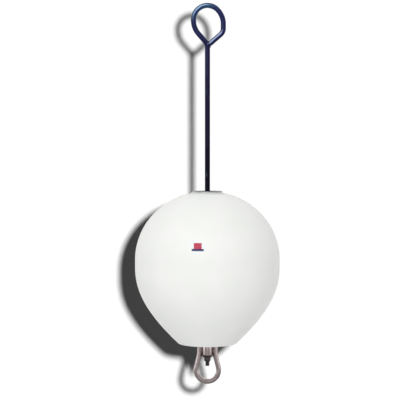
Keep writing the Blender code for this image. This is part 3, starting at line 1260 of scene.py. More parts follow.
@dataclass(frozen=True)
class FastenerSteel:
    """The darker steel of the washer, the lock nut and the rod's thread.

    Attributes:
        name: The material's name.
        pale: Colour of the rubbed crests.
        dark: Colour of the dull skin.
    """

    name: str = "dull_nut_steel"
    pale: Colour = (0.115, 0.105, 0.105)
    dark: Colour = (0.040, 0.033, 0.033)

    def material(self, shelf: EffectShelf) -> bpy.types.Material:
        """Steel with lathe rings and a dull skin in patches.

        Args:
            shelf: Where the shared effects come from.

        Returns:
            The material.
        """
        sheet = MaterialSheet(self.name, shelf)
        rings = sheet.effect(Effect.TURNING, {"Scale": 2200.0})["Rings"]
        clouds = sheet.effect(Effect.MOTTLE, {"Scale": 260.0})["Mask"]
        share = sheet.maths("MULTIPLY_ADD", rings, 0.4, sheet.maths("MULTIPLY", clouds, 0.5))
        return sheet.dress(
            {
                "Base Color": sheet.blend(share, opaque(self.dark), opaque(self.pale)),
                "Metallic": 1.0,
                "Roughness": sheet.spread(share, 0.2, 0.8, 0.46, 0.28),
                "Normal": sheet.bump(rings, distance=0.0002, strength=0.3),
            }
        )


@dataclass(frozen=True)
class NutNylon:
    """The dark nylon ring that locks the nut.

    Attributes:
        pale: Its colour where it is palest.
        dark: Its colour where it is darkest.
    """

    pale: Colour = (0.040, 0.045, 0.060)
    dark: Colour = (0.022, 0.024, 0.034)

    def material(self, shelf: EffectShelf) -> bpy.types.Material:
        """Satin nylon with a fine cloudy grain.

        Args:
            shelf: Where the shared effects come from.

        Returns:
            The material.
        """
        sheet = MaterialSheet("dark_nylon", shelf)
        clouds = sheet.effect(Effect.MOTTLE, {"Scale": 420.0})["Mask"]
        return sheet.dress(
            {
                "Base Color": sheet.blend(clouds, opaque(self.dark), opaque(self.pale)),
                "Roughness": sheet.between(clouds, 0.38, 0.5),
                "Normal": sheet.bump(clouds, distance=0.0001, strength=0.2),
            }
        )


@dataclass(frozen=True)
class PrintedLabel:
    """The small printed label: a red block over a navy bar on a pale ground.

    Attributes:
        ground: Colour of the bare vinyl.
        red: Colour of the block.
        navy: Colour of the bar.
        edge: Softness of the print's edges.
    """

    ground: Colour = (0.85, 0.89, 0.89)
    red: Colour = (0.50, 0.018, 0.070)
    navy: Colour = (0.030, 0.028, 0.110)
    edge: float = 0.0004

    def material(self, shelf: EffectShelf, centre: Vector) -> bpy.types.Material:
        """Printed vinyl.

        Args:
            shelf: Where the shared effects come from.
            centre: Middle of the label.

        Returns:
            The material.
        """
        sheet = MaterialSheet("printed_vinyl", shelf)
        block = {
            "Centre": (centre.x, 0.0, centre.z + 0.0022),
            "Half Size": (0.0105, 1.0, 0.0088),
            "Softness": self.edge,
        }
        bar = {
            "Centre": (centre.x, 0.0, centre.z - 0.0072),
            "Half Size": (0.0160, 1.0, 0.0030),
            "Softness": self.edge,
        }
        clouds = sheet.effect(Effect.MOTTLE, {"Scale": 300.0})["Mask"]
        print_density = sheet.between(clouds, 0.88, 1.0)
        red = sheet.maths("MULTIPLY", sheet.effect(Effect.WINDOW, block)["Mask"], print_density)
        navy = sheet.maths("MULTIPLY", sheet.effect(Effect.WINDOW, bar)["Mask"], print_density)
        colour = sheet.blend(navy, sheet.blend(red, opaque(self.ground), opaque(self.red)), opaque(self.navy))
        return sheet.dress(
            {
                "Base Color": colour,
                "Roughness": sheet.between(clouds, 0.48, 0.56),
                "Specular IOR Level": 0.15,
                "Normal": sheet.bump(clouds, distance=0.00005, strength=0.1),
            }
        )


# The buoy


@dataclass
class FloatMoulding:
    """The float: foot, flank, belly, crown and the raised seat of the top plate.

    Attributes:
        belly_radius: Radius of the widest part.
        belly_band: Height of the straight band at the widest part.
        crown_rise: Half height of the crown's ellipse.
        flank_drop: Height of the flank, from the foot to the belly.
        shoulder_pull: How far the flank runs straight below the belly.
        foot_pull: How far it runs straight above the foot.
        foot_radius: Radius of the foot, to its sharp corner.
        foot_angle: Angle between the flank and the axis at the foot.
        foot_edge: Radius of the foot's rounded edge.
        seat_radius: Radius of the raised seat.
        seat_rise: Height of the seat over the shelf round it.
        shelf_width: Width of that shelf.
        bore_radius: Radius of the bore for the rod.
        flats: Number of flats round the float.
        flank_steps: Number of steps along the flank.
        crown_steps: Number of steps along the crown.
    """

    belly_radius: float = 0.200
    belly_band: float = 0.021
    crown_rise: float = 0.190
    flank_drop: float = 0.211
    shoulder_pull: float = 0.055
    foot_pull: float = 0.138
    foot_radius: float = 0.081
    foot_angle: float = math.radians(46)
    foot_edge: float = 0.004
    seat_radius: float = 0.046
    seat_rise: float = 0.003
    shelf_width: float = 0.0115
    bore_radius: float = 0.00825
    flats: int = 256
    flank_steps: int = 52
    crown_steps: int = 56

    def __post_init__(self) -> None:
        """Read the float's levels from the frame."""
        self.foot, self.seat = Span.of("float_body").low, Span.of("float_body").high
        self.belly_top = self.foot + self.flank_drop + self.belly_band

    @property
    def shelf_level(self) -> float:
        """Level of the shelf round the seat."""
        return self.seat - self.seat_rise

    @property
    def shelf_angle(self) -> float:
        """Angle round the crown's ellipse from the belly to the shelf."""
        return math.acos((self.seat_radius + self.shelf_width) / self.belly_radius)

    @property
    def crown_edge(self) -> float:
        """Level at which the crown meets the shelf."""
        return self.belly_top + self.crown_rise * math.sin(self.shelf_angle)

    def crown_radius(self, level: float) -> float:
        """Radius of the crown at a level above the belly."""
        share = (level - self.belly_top) / self.crown_rise
        return self.belly_radius * math.sqrt(1 - share**2)

    def outline(self) -> list[Corner]:
        """Lay out the float's section.

        Returns:
            Its (r, z) corners, from the bore at the foot out and up to the bore at the seat.
        """
        foot_turn = math.pi / 2 - self.foot_angle
        edge_reach = self.foot_edge * math.tan(foot_turn / 2)
        edge_centre = (self.foot_radius - edge_reach, self.foot + self.foot_edge)
        edge = arc(edge_centre, self.foot_edge, -math.pi / 2, -self.foot_angle, 8)
        start = edge[-1]
        start_pull = (
            start[0] + self.foot_pull * math.sin(self.foot_angle),
            start[1] + self.foot_pull * math.cos(self.foot_angle),
        )
        shoulder = (self.belly_radius, self.foot + self.flank_drop)
        shoulder_pull = (self.belly_radius, shoulder[1] - self.shoulder_pull)
        flank = bezier((start, start_pull, shoulder_pull, shoulder), self.flank_steps)
        turns = (self.shelf_angle * step / self.crown_steps for step in range(self.crown_steps + 1))
        crown = [
            (self.belly_radius * math.cos(turn), self.belly_top + self.crown_rise * math.sin(turn))
            for turn in turns
        ]
        seat = [
            (self.seat_radius, self.shelf_level),
            (self.seat_radius, self.seat),
            (self.bore_radius, self.seat),
        ]
        return [(self.bore_radius, self.foot), *edge, *flank[1:], *crown, *seat]

    def build(self, finish: bpy.types.Material) -> bpy.types.Object:
        """Mould the float and round the edges of its seat and shelf.

        Args:
            finish: Its material.

        Returns:
            The float.
        """
        bm = turned(self.outline(), self.flats)
        soften_ring(bm, (self.seat_radius, self.seat), 0.0015, 5)
        soften_ring(bm, (self.seat_radius, self.shelf_level), 0.0010, 4)
        soften_ring(bm, (self.seat_radius + self.shelf_width, self.crown_edge), 0.0025, 5)
        return place_piece("float_moulding", bm, Body.BUOY, finish, "float_body")


@dataclass
class FloatLabel:
    """The thin printed label on the front of the float's crown.

    Attributes:
        moulding: The float that it lies on.
        off_axis: How far its middle lies from the axis, to the left.
        level: Level of its middle.
        width: Its width.
        height: Its height.
        thickness: Thickness of the vinyl.
        corner: How much of each corner is cut off.
    """

    moulding: FloatMoulding
    off_axis: float = -0.0265
    level: float = -0.6425
    width: float = 0.038
    height: float = 0.032
    thickness: float = 0.0002
    corner: float = 0.006

    def on_crown(self, across: float, level: float) -> Vector:
        """The point of the crown's front at a distance across and a level."""
        radius = self.moulding.crown_radius(level)
        return Vector((across, -math.sqrt(radius**2 - across**2), level))

    def build(self, shelf: EffectShelf) -> bpy.types.Object:
        """Cut the label, lay it on the crown and give it its thickness.

        Args:
            shelf: Where the shared effects of its finish come from.

        Returns:
            The label.
        """
        bm = bmesh.new()
        bmesh.ops.create_grid(bm, x_segments=24, y_segments=20, size=0.5)
        bmesh.ops.scale(bm, vec=(self.width, self.height, 1), verts=bm.verts)
        reach = (self.width + self.height) / 2 - self.corner
        for turn in (45, 135, 225, 315):
            angle = math.radians(turn)
            outwards = Vector((math.cos(angle), math.sin(angle), 0))
            cut_off(bm, outwards * reach / math.sqrt(2), outwards)
        lift = self.thickness * 1.2
        for vert in bm.verts:
            spot = self.on_crown(self.off_axis + vert.co.x, self.level + vert.co.y)
            vert.co = spot + Vector((spot.x, spot.y, 0)).normalized() * lift
        bmesh.ops.recalc_face_normals(bm, faces=bm.faces)
        bmesh.ops.solidify(bm, geom=bm.faces[:], thickness=self.thickness)
        bmesh.ops.recalc_face_normals(bm, faces=bm.faces)
        centre = self.on_crown(self.off_axis, self.level)
        return place_piece("float_label", bm, Body.BUOY, PrintedLabel().material(shelf, centre))


@dataclass
class ClampPlate:
    """A round plate above or below the float.

    Attributes:
        node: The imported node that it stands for.
        bore_radius: Radius of its bore.
        radius: Its outer radius.
        edge: Radius of its rounded edges.
        flats: Number of flats round it.
    """

    node: str
    bore_radius: float
    radius: float = 0.0415
    edge: float = 0.0006
    flats: int = 160

    def build(self, finish: bpy.types.Material) -> bpy.types.Object:
        """Turn the plate and round its rims.

        Args:
            finish: Its material.

        Returns:
            The plate.
        """
        span = Span.of(self.node)
        bm = turned(square_ring(self.bore_radius, self.radius, span.low, span.high), self.flats)
        for level in (span.low, span.high):
            soften_ring(bm, (self.radius, level), self.edge, 4)
            soften_ring(bm, (self.bore_radius, level), self.edge / 2, 2)
        return place_piece(f"{self.node}_disc", bm, Body.BUOY, finish, self.node)


@dataclass
class LiftingRod:
    """The coated rod, from its threaded end up through the float and round the eye to its welded tail.

    Attributes:
        bar_radius: Radius of the bar.
        rise: Length of the straight rod over the top plate.
        neck_radius: Radius of the bend at the foot of the eye.
        neck_angle: Angle of that bend.
        cheek_radius: Radius of the bend back into the eye's cheek.
        cheek_run: Straight run into the eye.
        eye_radius: Radius of the eye's top, on the bar's centreline.
        eye_turn: Angle that this top bend goes on for.
        side_radius: Radius of the flatter bend that follows it.
        return_run: Straight run down the other side.
        return_radius: Radius of the bend towards the weld.
        return_angle: Angle of that bend.
        root_gap: Gap at the root of the weld.
        spigot_radius: Radius of the plain spigot under the shoulder.
        thread_radius: Radius over the thread's crests.
        thread_pitch: Pitch of the thread.
        thread_chamfer: Height of the chamfer at the thread's end.
        weld_radius: Radius of the weld bead round the tail.
        weld_ripple: Depth of its ripples.
        sides: Number of flats round the bar.
    """

    bar_radius: float = 0.00725
    rise: float = 0.394
    neck_radius: float = 0.0277
    neck_angle: float = math.radians(41)
    cheek_radius: float = 0.0554
    cheek_run: float = 0.0025
    eye_radius: float = 0.0384
    eye_turn: float = math.radians(135)
    side_radius: float = 0.056
    return_run: float = 0.012
    return_radius: float = 0.022
    return_angle: float = math.radians(49)
    root_gap: float = 0.0008
    spigot_radius: float = 0.006
    thread_radius: float = 0.00597
    thread_pitch: float = 0.00175
    thread_chamfer: float = 0.0009
    weld_radius: float = 0.0023
    weld_ripple: float = 0.00022
    sides: int = 64

    def __post_init__(self) -> None:
        """Read the rod's levels from the frame."""
        self.end = Span.of("eye_rod").low
        self.shoulder = Span.of("float_body").low
        self.neck = Span.of("top_plate").high + self.rise
        nut = Span.of("lock_nut")
        self.spigot_end = (nut.low + nut.high) / 2

    @property
    def neck_centre(self) -> Vector:
        """Middle of the bend at the foot of the eye."""
        return Vector((-self.neck_radius, 0, self.neck))

    def bend_neck(self, bar: BentBar) -> BentBar:
        """Bend the bar out at the foot of the eye and run it to the next bend.

        Args:
            bar: The bar, drawn up to the foot of the eye.

        Returns:
            The bar.
        """
        both = self.neck_radius + self.cheek_radius
        swing = self.eye_radius - both * (1 - math.cos(self.neck_angle))
        return bar.bend(self.neck_radius, -self.neck_angle).draw(swing / math.sin(self.neck_angle))

    def reach_neck(self, point: Vector, heading: Vector, distance: float) -> float:
        """How far a point travels until it is near enough to the middle of the neck's bend.

        Args:
            point: Where it starts.
            heading: The way in which it travels.
            distance: How near it comes.

        Returns:
            The length that it travels.
        """
        offset = point - self.neck_centre
        along = offset.dot(heading)
        return -along - math.sqrt(along**2 - offset.length_squared + distance**2)

    def bend_bar(self) -> BentBar:
        """Bend the whole coated bar, from the shoulder under the float to the cut end of its tail.

        Returns:
            The bar, with its tail's end still open.
        """
        bar = BentBar(Vector((0, 0, self.shoulder)), UP, self.bar_radius, self.sides)
        bar.draw(self.neck - self.shoulder)
        self.bend_neck(bar)
        bar.bend(self.cheek_radius, self.neck_angle).draw(self.cheek_run)
        bar.bend(self.eye_radius, self.eye_turn).bend(self.side_radius, math.pi - self.eye_turn)
        bar.draw(self.return_run)
        bar.bend(self.return_radius, self.return_angle)
        inner_side = right_of(bar.heading) * self.bar_radius
        stand_off = self.neck_radius + self.bar_radius + self.root_gap
        return bar.draw(self.reach_neck(bar.point + inner_side, bar.heading, stand_off))

    def weld_loop(self, tail_end: Vector, heading: Vector, count: int) -> list[Vector]:
        """Where the tail's outside meets the rod.

        Args:
            tail_end: Middle of the tail's cut end.
            heading: The way in which the tail runs into the rod.
            count: Number of points round the loop.

        Returns:
            The points.
        """
        below_neck, behind_tail, reach = 0.03, 0.01, self.bar_radius * 0.95
        neck = BentBar(Vector((0, 0, self.neck - below_neck)), UP, self.bar_radius, self.sides)
        shell = self.bend_neck(neck.draw(below_neck)).finish()
        tree = BVHTree.FromBMesh(shell)
        loop = []
        for step in range(count):
            turn = math.tau * step / count
            side = (right_of(heading) * math.cos(turn) + Vector((0, 1, 0)) * math.sin(turn)) * reach
            start = tail_end + side - heading * behind_tail
            loop.append(tree.ray_cast(start, heading)[0])
        shell.free()
        return loop

    def build(self, finish: bpy.types.Material) -> bpy.types.Object:
        """Bend the bar and weld its tail, with a slimmer stub that carries it on into the rod.

        Args:
            finish: Its material.

        Returns:
            The rod.
        """
        bar = self.bend_bar()
        tail_end, heading = bar.point.copy(), bar.heading.copy()
        to_middle = self.reach_neck(tail_end, heading, self.neck_radius)
        sunk, stub_radius, root_radius = 0.004, self.bar_radius - 0.0004, self.bar_radius - 0.0012
        stub = BentBar(tail_end - heading * sunk, heading, stub_radius, self.sides)
        stub.draw(sunk + to_middle, root_radius)
        bead = WeldBead(radius=self.weld_radius, ripple=self.weld_ripple, sides=16)
        around = bead.round_ring(self.weld_loop(tail_end, heading, 75))
        bm = combined(bar.finish(), [stub.finish(), around], Join.UNION)
        piece = place_piece("lifting_rod", bm, Body.BUOY, finish, "eye_rod")
        bar.mark_unbent(piece.data)
        return piece

    def build_thread(self, finish: bpy.types.Material) -> bpy.types.Object:
        """Turn the bare spigot under the rod's shoulder and cut its thread.

        Args:
            finish: Its material.

        Returns:
            The rod's threaded end.
        """
        into_rod, into_spigot = 0.002, 0.0006
        spigot = BentBar(Vector((0, 0, self.spigot_end)), UP, self.spigot_radius, self.sides)
        spigot.draw(self.shoulder + into_rod - self.spigot_end)
        top = self.spigot_end + into_spigot
        thread = ScrewThread(self.thread_radius, self.thread_pitch, top, self.end, self.thread_chamfer)
        bm = combined(spigot.finish(), [thread.build()], Join.UNION)
        return place_piece("rod_threaded_end", bm, Body.BUOY, finish)


@dataclass
class SwivelBow:
    """The sleeve that turns on the rod's end, with the bow welded along both its sides.

    Attributes:
        bore_radius: Radius of the sleeve's bore.
        sleeve_radius: The sleeve's outer radius.
        sleeve_length: The sleeve's length.
        chamfer: How far the rounding of the sleeve's ends reaches.
        bar_radius: Radius of the bow's bar.
        bow_radius: Radius of the bow's crown, on the centreline.
        flare: Angle at which the legs spread.
        flare_radius: Radius of the bend into the flare.
        leg_inset: How far the legs stop under the sleeve's top.
        leg_sink: How far the legs are let into the sleeve.
        end_chamfer: Chamfer at the legs' ends.
        seam_radius: Radius of the weld beads.
        seam_sink: How far the beads are let in.
        seam_ripple: Depth of the beads' ripples.
        sides: Number of flats round the bar.
        flats: Number of flats round the sleeve.
    """

    bore_radius: float = 0.0065
    sleeve_radius: float = 0.015
    sleeve_length: float = 0.0314
    chamfer: float = 0.0012
    bar_radius: float = 0.007
    bow_radius: float = 0.0313
    flare: float = math.radians(13)
    flare_radius: float = 0.030
    leg_inset: float = 0.001
    leg_sink: float = 0.0006
    end_chamfer: float = 0.0008
    seam_radius: float = 0.0022
    seam_sink: float = 0.0006
    seam_ripple: float = 0.00035
    sides: int = 56
    flats: int = 112

    def __post_init__(self) -> None:
        """Read the bow's levels from the frame."""
        span = Span.of("swivel_bow")
        self.sleeve_top = span.high
        self.crown_centre = span.low + self.bow_radius + self.bar_radius
        self.leg_x = self.sleeve_radius + self.bar_radius - self.leg_sink
        self.leg_top = self.sleeve_top - self.leg_inset
        flare_x = self.bow_radius * math.cos(self.flare)
        corner = self.crown_centre + self.bow_radius * math.sin(self.flare)
        corner += (flare_x - self.leg_x) / math.tan(self.flare)
        bend_reach = self.flare_radius * math.tan(self.flare / 2)
        self.leg_length = self.leg_top - corner - bend_reach
        self.slant = (flare_x - self.leg_x) / math.sin(self.flare) - bend_reach

    def turn_sleeve(self) -> bmesh.types.BMesh:
        """Turn the sleeve and round its ends.

        Returns:
            The sleeve's closed shell.
        """
        bottom = self.sleeve_top - self.sleeve_length
        bm = turned(square_ring(self.bore_radius, self.sleeve_radius, bottom, self.sleeve_top), self.flats)
        for level in (bottom, self.sleeve_top):
            soften_ring(bm, (self.sleeve_radius, level), self.chamfer, 4)
            soften_ring(bm, (self.bore_radius, level), self.chamfer / 2, 1)
        return bm

    def bend_bow(self) -> BentBar:
        """Bend the bow's bar: down one leg, out, round the crown and back up the other leg.

        Returns:
            The bar, with its last end still open.
        """
        start = Vector((-self.leg_x, 0, self.leg_top))
        bar = BentBar(start, DOWN, self.bar_radius - self.end_chamfer, self.sides)
        straight = self.leg_length - self.end_chamfer
        bar.draw(self.end_chamfer, self.bar_radius).draw(straight)
        bar.bend(self.flare_radius, self.flare).draw(self.slant)
        bar.bend(self.bow_radius, -math.pi - 2 * self.flare).draw(self.slant)
        bar.bend(self.flare_radius, self.flare).draw(straight)
        return bar.draw(self.end_chamfer, self.bar_radius - self.end_chamfer)

    def seams(self) -> list[bmesh.types.BMesh]:
        """Lay the four rippled weld beads in the grooves between the sleeve and the legs.

        Returns:
            Their closed shells.
        """
        to_sleeve = self.sleeve_radius + self.seam_radius - self.seam_sink
        to_leg = self.bar_radius + self.seam_radius - self.seam_sink
        x = (to_sleeve**2 - to_leg**2 + self.leg_x**2) / (2 * self.leg_x)
        y = math.sqrt(to_sleeve**2 - x**2)
        high = self.leg_top - self.seam_radius / 2
        low = self.leg_top - self.leg_length + self.seam_radius / 2
        bead = WeldBead(radius=self.seam_radius, ripple=self.seam_ripple)
        corners = [(side * x, face * y) for side in (-1, 1) for face in (-1, 1)]
        return [bead.along(Vector((*corner, high)), Vector((*corner, low))) for corner in corners]

    def build(self, finish: bpy.types.Material) -> bpy.types.Object:
        """Weld the sleeve, the bar and the beads together.

        Args:
            finish: Its material.

        Returns:
            The bow.
        """
        bar = self.bend_bow()
        bm = combined(self.turn_sleeve(), [bar.finish(), *self.seams()], Join.UNION)
        piece = place_piece("swivel_bow_welded", bm, Body.SWIVEL, finish, "swivel_bow")
        bar.mark_unbent(piece.data)
        return piece


@dataclass
class BowFasteners:
    """The washer and the lock nut that hold the swivel on the rod.

    Attributes:
        bore_radius: Radius of the washer's bore.
        washer_radius: The washer's outer radius.
        across_flats: Width of the nut's hexagon.
        collar_radius: Radius of the round collar under the hexagon.
        collar_height: Height of that collar.
        collar_wall: Wall of the collar round its nylon ring.
        thread_radius: Radius over the crests of the rod's thread.
        corner_round: How far the rounding of the hexagon's corners reaches.
        nut_clearance: Gap between the thread's crests and the nut's bore.
        pocket_drop: How far under the hexagon the ring's pocket ends.
        ring_inset: How far the ring lies inside the collar's mouth.
        ring_room: Gap between the ring and its pocket.
        flats: Number of flats round the washer and the nut's turned parts.
    """

    bore_radius: float = 0.0065
    washer_radius: float = 0.01225
    across_flats: float = 0.018
    collar_radius: float = 0.0083
    collar_height: float = 0.0034
    collar_wall: float = 0.0011
    thread_radius: float = 0.006
    corner_round: float = 0.0003
    nut_clearance: float = 0.0003
    pocket_drop: float = 0.0002
    ring_inset: float = 0.0005
    ring_room: float = 0.00005
    flats: int = 96

    def build_washer(self, finish: bpy.types.Material) -> bpy.types.Object:
        """Turn the washer and round its rims.

        Args:
            finish: Its material.

        Returns:
            The washer.
        """
        span = Span.of("bow_washer")
        bm = turned(square_ring(self.bore_radius, self.washer_radius, span.low, span.high), self.flats)
        for level in (span.low, span.high):
            soften_ring(bm, (self.washer_radius, level), 0.0004, 4)
        return place_piece("swivel_washer", bm, Body.BUOY, finish, "bow_washer")

    def build_nut(self, finish: bpy.types.Material) -> bpy.types.Object:
        """Cut the nut from hexagon bar: chamfered corners, a round collar and a pocket for the nylon ring.

        Args:
            finish: Its material.

        Returns:
            The nut.
        """
        span = Span.of("lock_nut")
        hex_low = span.low + self.collar_height
        face, across_corners = self.across_flats / 2, self.across_flats / math.sqrt(3)
        corner = across_corners + 0.0003
        drop = (corner - face) / math.sqrt(3)
        pocket, pocket_top = self.collar_radius - self.collar_wall, hex_low - self.pocket_drop
        bore = self.thread_radius + self.nut_clearance
        outline = [
            (pocket, span.low),
            (self.collar_radius, span.low),
            (self.collar_radius, hex_low),
            (face, hex_low),
            (corner, hex_low + drop),
            (corner, span.high - drop),
            (face, span.high),
            (bore, span.high),
            (bore, pocket_top),
            (pocket, pocket_top),
        ]
        blank = turned(outline, self.flats)
        soften_ring(blank, (self.collar_radius, span.low), 0.0009, 4)
        soften_ring(blank, (self.collar_radius, hex_low), 0.0003, 2)
        bar = bmesh.new()
        height = span.high - span.low
        bmesh.ops.create_cone(
            bar,
            cap_ends=True,
            segments=6,
            radius1=across_corners,
            radius2=across_corners,
            depth=2 * height,
            matrix=Matrix.Translation((0, 0, span.low + height / 2)),
        )
        uprights = [edge for edge in bar.edges if abs(edge.verts[0].co.z - edge.verts[1].co.z) > height]
        round_edges(bar, uprights, self.corner_round, 3)
        bm = combined(blank, [bar], Join.INTERSECT)
        return place_piece("swivel_lock_nut", bm, Body.BUOY, finish, "lock_nut")

    def build_ring(self, finish: bpy.types.Material) -> bpy.types.Object:
        """Turn the nylon ring that sits in the nut's collar.

        Args:
            finish: Its material.

        Returns:
            The ring.
        """
        collar_low = Span.of("lock_nut").low
        low, high = collar_low + self.ring_inset, collar_low + self.collar_height - 0.0003
        inner = self.thread_radius - 0.0002
        outer = self.collar_radius - self.collar_wall - self.ring_room
        bm = turned(square_ring(inner, outer, low, high), 72)
        soften_ring(bm, (inner, low), 0.0003, 3)
        return place_piece("nut_nylon_ring", bm, Body.BUOY, finish)


# The studio


@dataclass(frozen=True)
class PaperLook:
    """How a sheet of paper looks to one kind of ray.

    Attributes:
        grey: Share of the light that it throws back.
        glow: Light that it gives off.
    """

    grey: float
    glow: float = 0.0


@dataclass
class Studio:
    """Floor, backdrop, lamps and camera.

    Attributes:
        view_x: Where the camera stands beside the buoy's axis, so that the buoy sits right of the middle.
        view_distance: Distance from the camera to the buoy's axis.
        view_height: Level of the camera.
        target_height: Level that it looks at.
        lens: Focal length in millimetres.
        floor_level: Level of the floor.
        wall_distance: Distance from the buoy's axis to the backdrop.
        ambient: Strength of the surround's soft light.
        room_level: How bright the darkest side of the room looks in reflections.
        middle: Level of the point that every lamp is aimed at.
        bulb_offset: How far the backdrop's lamp stands beside and above the camera.
    """

    view_x: float = -0.0205
    view_distance: float = 4.1
    view_height: float = -0.3211
    target_height: float = -0.5272
    lens: float = 133.8
    floor_level: float = -1.20
    wall_distance: float = 0.45
    ambient: float = 0.74
    room_level: float = 0.10
    middle: float = -0.45
    bulb_offset: tuple[float, float] = (0.435, 0.279)

    def paper(
        self,
        name: str,
        seen: PaperLook,
        mirrored: PaperLook,
        bounced: PaperLook,
        lamp_place: Vector | None = None,
    ) -> bpy.types.Material:
        """Paper that is clear from behind.

        Args:
            name: The material's name.
            seen: Its look to the camera.
            mirrored: Its look in reflections.
            bounced: Its look for the light that it throws back on the buoy.
            lamp_place: Where its lamp stands, if its grey evens out how that light falls off.

        Returns:
            The material.
        """
        material = bpy.data.materials.new(name)
        material.use_nodes = True
        sheet = NodeSheet(material.node_tree)
        sheet.tree.nodes.clear()
        rays = sheet.add("ShaderNodeLightPath").outputs
        seen_rays = sheet.maths("ADD", rays["Is Camera Ray"], rays["Is Transmission Ray"])
        straight = sheet.maths("MINIMUM", seen_rays, 1.0)
        indirect_glow = sheet.between(rays["Is Glossy Ray"], bounced.glow, mirrored.glow)
        indirect_grey = sheet.between(rays["Is Glossy Ray"], bounced.grey, mirrored.grey)
        glow = sheet.between(straight, indirect_glow, seen.glow)
        grey = sheet.between(straight, indirect_grey, seen.grey)
        geometry = sheet.add("ShaderNodeNewGeometry").outputs
        if lamp_place:
            reach = self.wall_distance - lamp_place.y
            foot = (lamp_place.x, self.wall_distance, lamp_place.z)
            share = sheet.maths("DIVIDE", sheet.measure("DISTANCE", geometry["Position"], foot), reach)
            slant = sheet.maths("MULTIPLY_ADD", share, share, 1.0)
            grey = sheet.maths("MULTIPLY", grey, sheet.maths("POWER", slant, 1.5))
        tone = sheet.add("ShaderNodeCombineColor", {"Red": grey, "Green": grey, "Blue": grey}).outputs[0]
        shine = sheet.add("ShaderNodeEmission", {"Strength": glow})
        matt = sheet.add("ShaderNodeBsdfDiffuse", {"Color": tone})
        front = sheet.add("ShaderNodeAddShader", {0: shine.outputs[0], 1: matt.outputs[0]})
        clear = sheet.add("ShaderNodeBsdfTransparent")
        feeds = {0: geometry["Backfacing"], 1: front.outputs[0], 2: clear.outputs[0]}
        surface = sheet.add("ShaderNodeMixShader", feeds).outputs[0]
        sheet.add("ShaderNodeOutputMaterial", {"Surface": surface})
        return material

    def lay_paper(
        self,
        name: str,
        size: float,
        place: Matrix,
        finish: bpy.types.Material,
    ) -> bpy.types.Object:
        """A flat square of paper.

        Args:
            name: The object's name.
            size: Length of its sides.
            place: Where it lies, its front towards the matrix's +Z.
            finish: Its material.

        Returns:
            The sheet.
        """
        bm = bmesh.new()
        bmesh.ops.create_grid(bm, x_segments=1, y_segments=1, size=size / 2, matrix=place)
        mesh = mesh_of(name, bm)
        mesh.materials.append(finish)
        thing = put_in_scene(name, mesh)
        return thing

    @property
    def backdrop_lamp_place(self) -> Vector:
        """Where the backdrop's lamp stands: beside and above the camera, and as far away as it."""
        aside, above = self.bulb_offset
        return Vector((self.view_x + aside, -self.view_distance, self.view_height + above))

    def set_stage(self) -> tuple[bpy.types.Object, bpy.types.Object]:
        """Lay the floor and hang the backdrop close behind the buoy.

        Returns:
            The floor and the backdrop.
        """
        floor_place = Matrix.Translation((0, 0, self.floor_level))
        looks = (PaperLook(0.62, 0.50), PaperLook(0.24, 0.16), PaperLook(0.55, 0.30))
        floor_paper = self.paper("floor_paper", *looks)
        floor = self.lay_paper("floor", 2.4, floor_place, floor_paper)
        upright = Matrix.Rotation(math.pi / 2, 4, "X")
        wall_place = Matrix.Translation((self.view_x, self.wall_distance, self.target_height)) @ upright
        looks = (PaperLook(0.066), PaperLook(0.066), PaperLook(0.06))
        wall_paper = self.paper("backdrop_paper", *looks, lamp_place=self.backdrop_lamp_place)
        wall = self.lay_paper("backdrop", 1.7, wall_place, wall_paper)
        return floor, wall

    def hang_lamp(
        self,
        name: str,
        place: tuple[float, float, float],
        size: tuple[float, float],
        power: float,
        lit: bpy.types.Collection,
    ) -> bpy.types.Object:
        """Hang a soft lamp that points at the buoy.

        Args:
            name: The lamp's name.
            place: Where it hangs.
            size: Its width and height.
            power: Its power in watts.
            lit: The collection that it lights.

        Returns:
            The lamp.
        """
        data = bpy.data.lights.new(name, "AREA")
        data.shape = "RECTANGLE"
        data.size, data.size_y = size
        data.energy = power
        return self.aim(name, data, Vector(place), lit)

    def aim(
        self,
        name: str,
        data: bpy.types.Light,
        place: Vector,
        lit: bpy.types.Collection,
    ) -> bpy.types.Object:
        """Put a lamp in place, point it at the buoy's middle and say what it lights.

        Args:
            name: The lamp's name.
            data: Its light.
            place: Where it stands.
            lit: The collection that it lights.

        Returns:
            The lamp.
        """
        lamp = put_in_scene(name, data)
        lamp.location = place
        look_along(lamp, UP * self.middle - place)
        lamp.light_linking.receiver_collection = lit
        return lamp

    def collect(self, name: str, things: Sequence[bpy.types.Object]) -> bpy.types.Collection:
        """Gather what a lamp lights.

        Args:
            name: The collection's name.
            things: What goes into it.

        Returns:
            The collection.
        """
        group = bpy.data.collections.new(name)
        for thing in things:
            group.objects.link(thing)
        return group

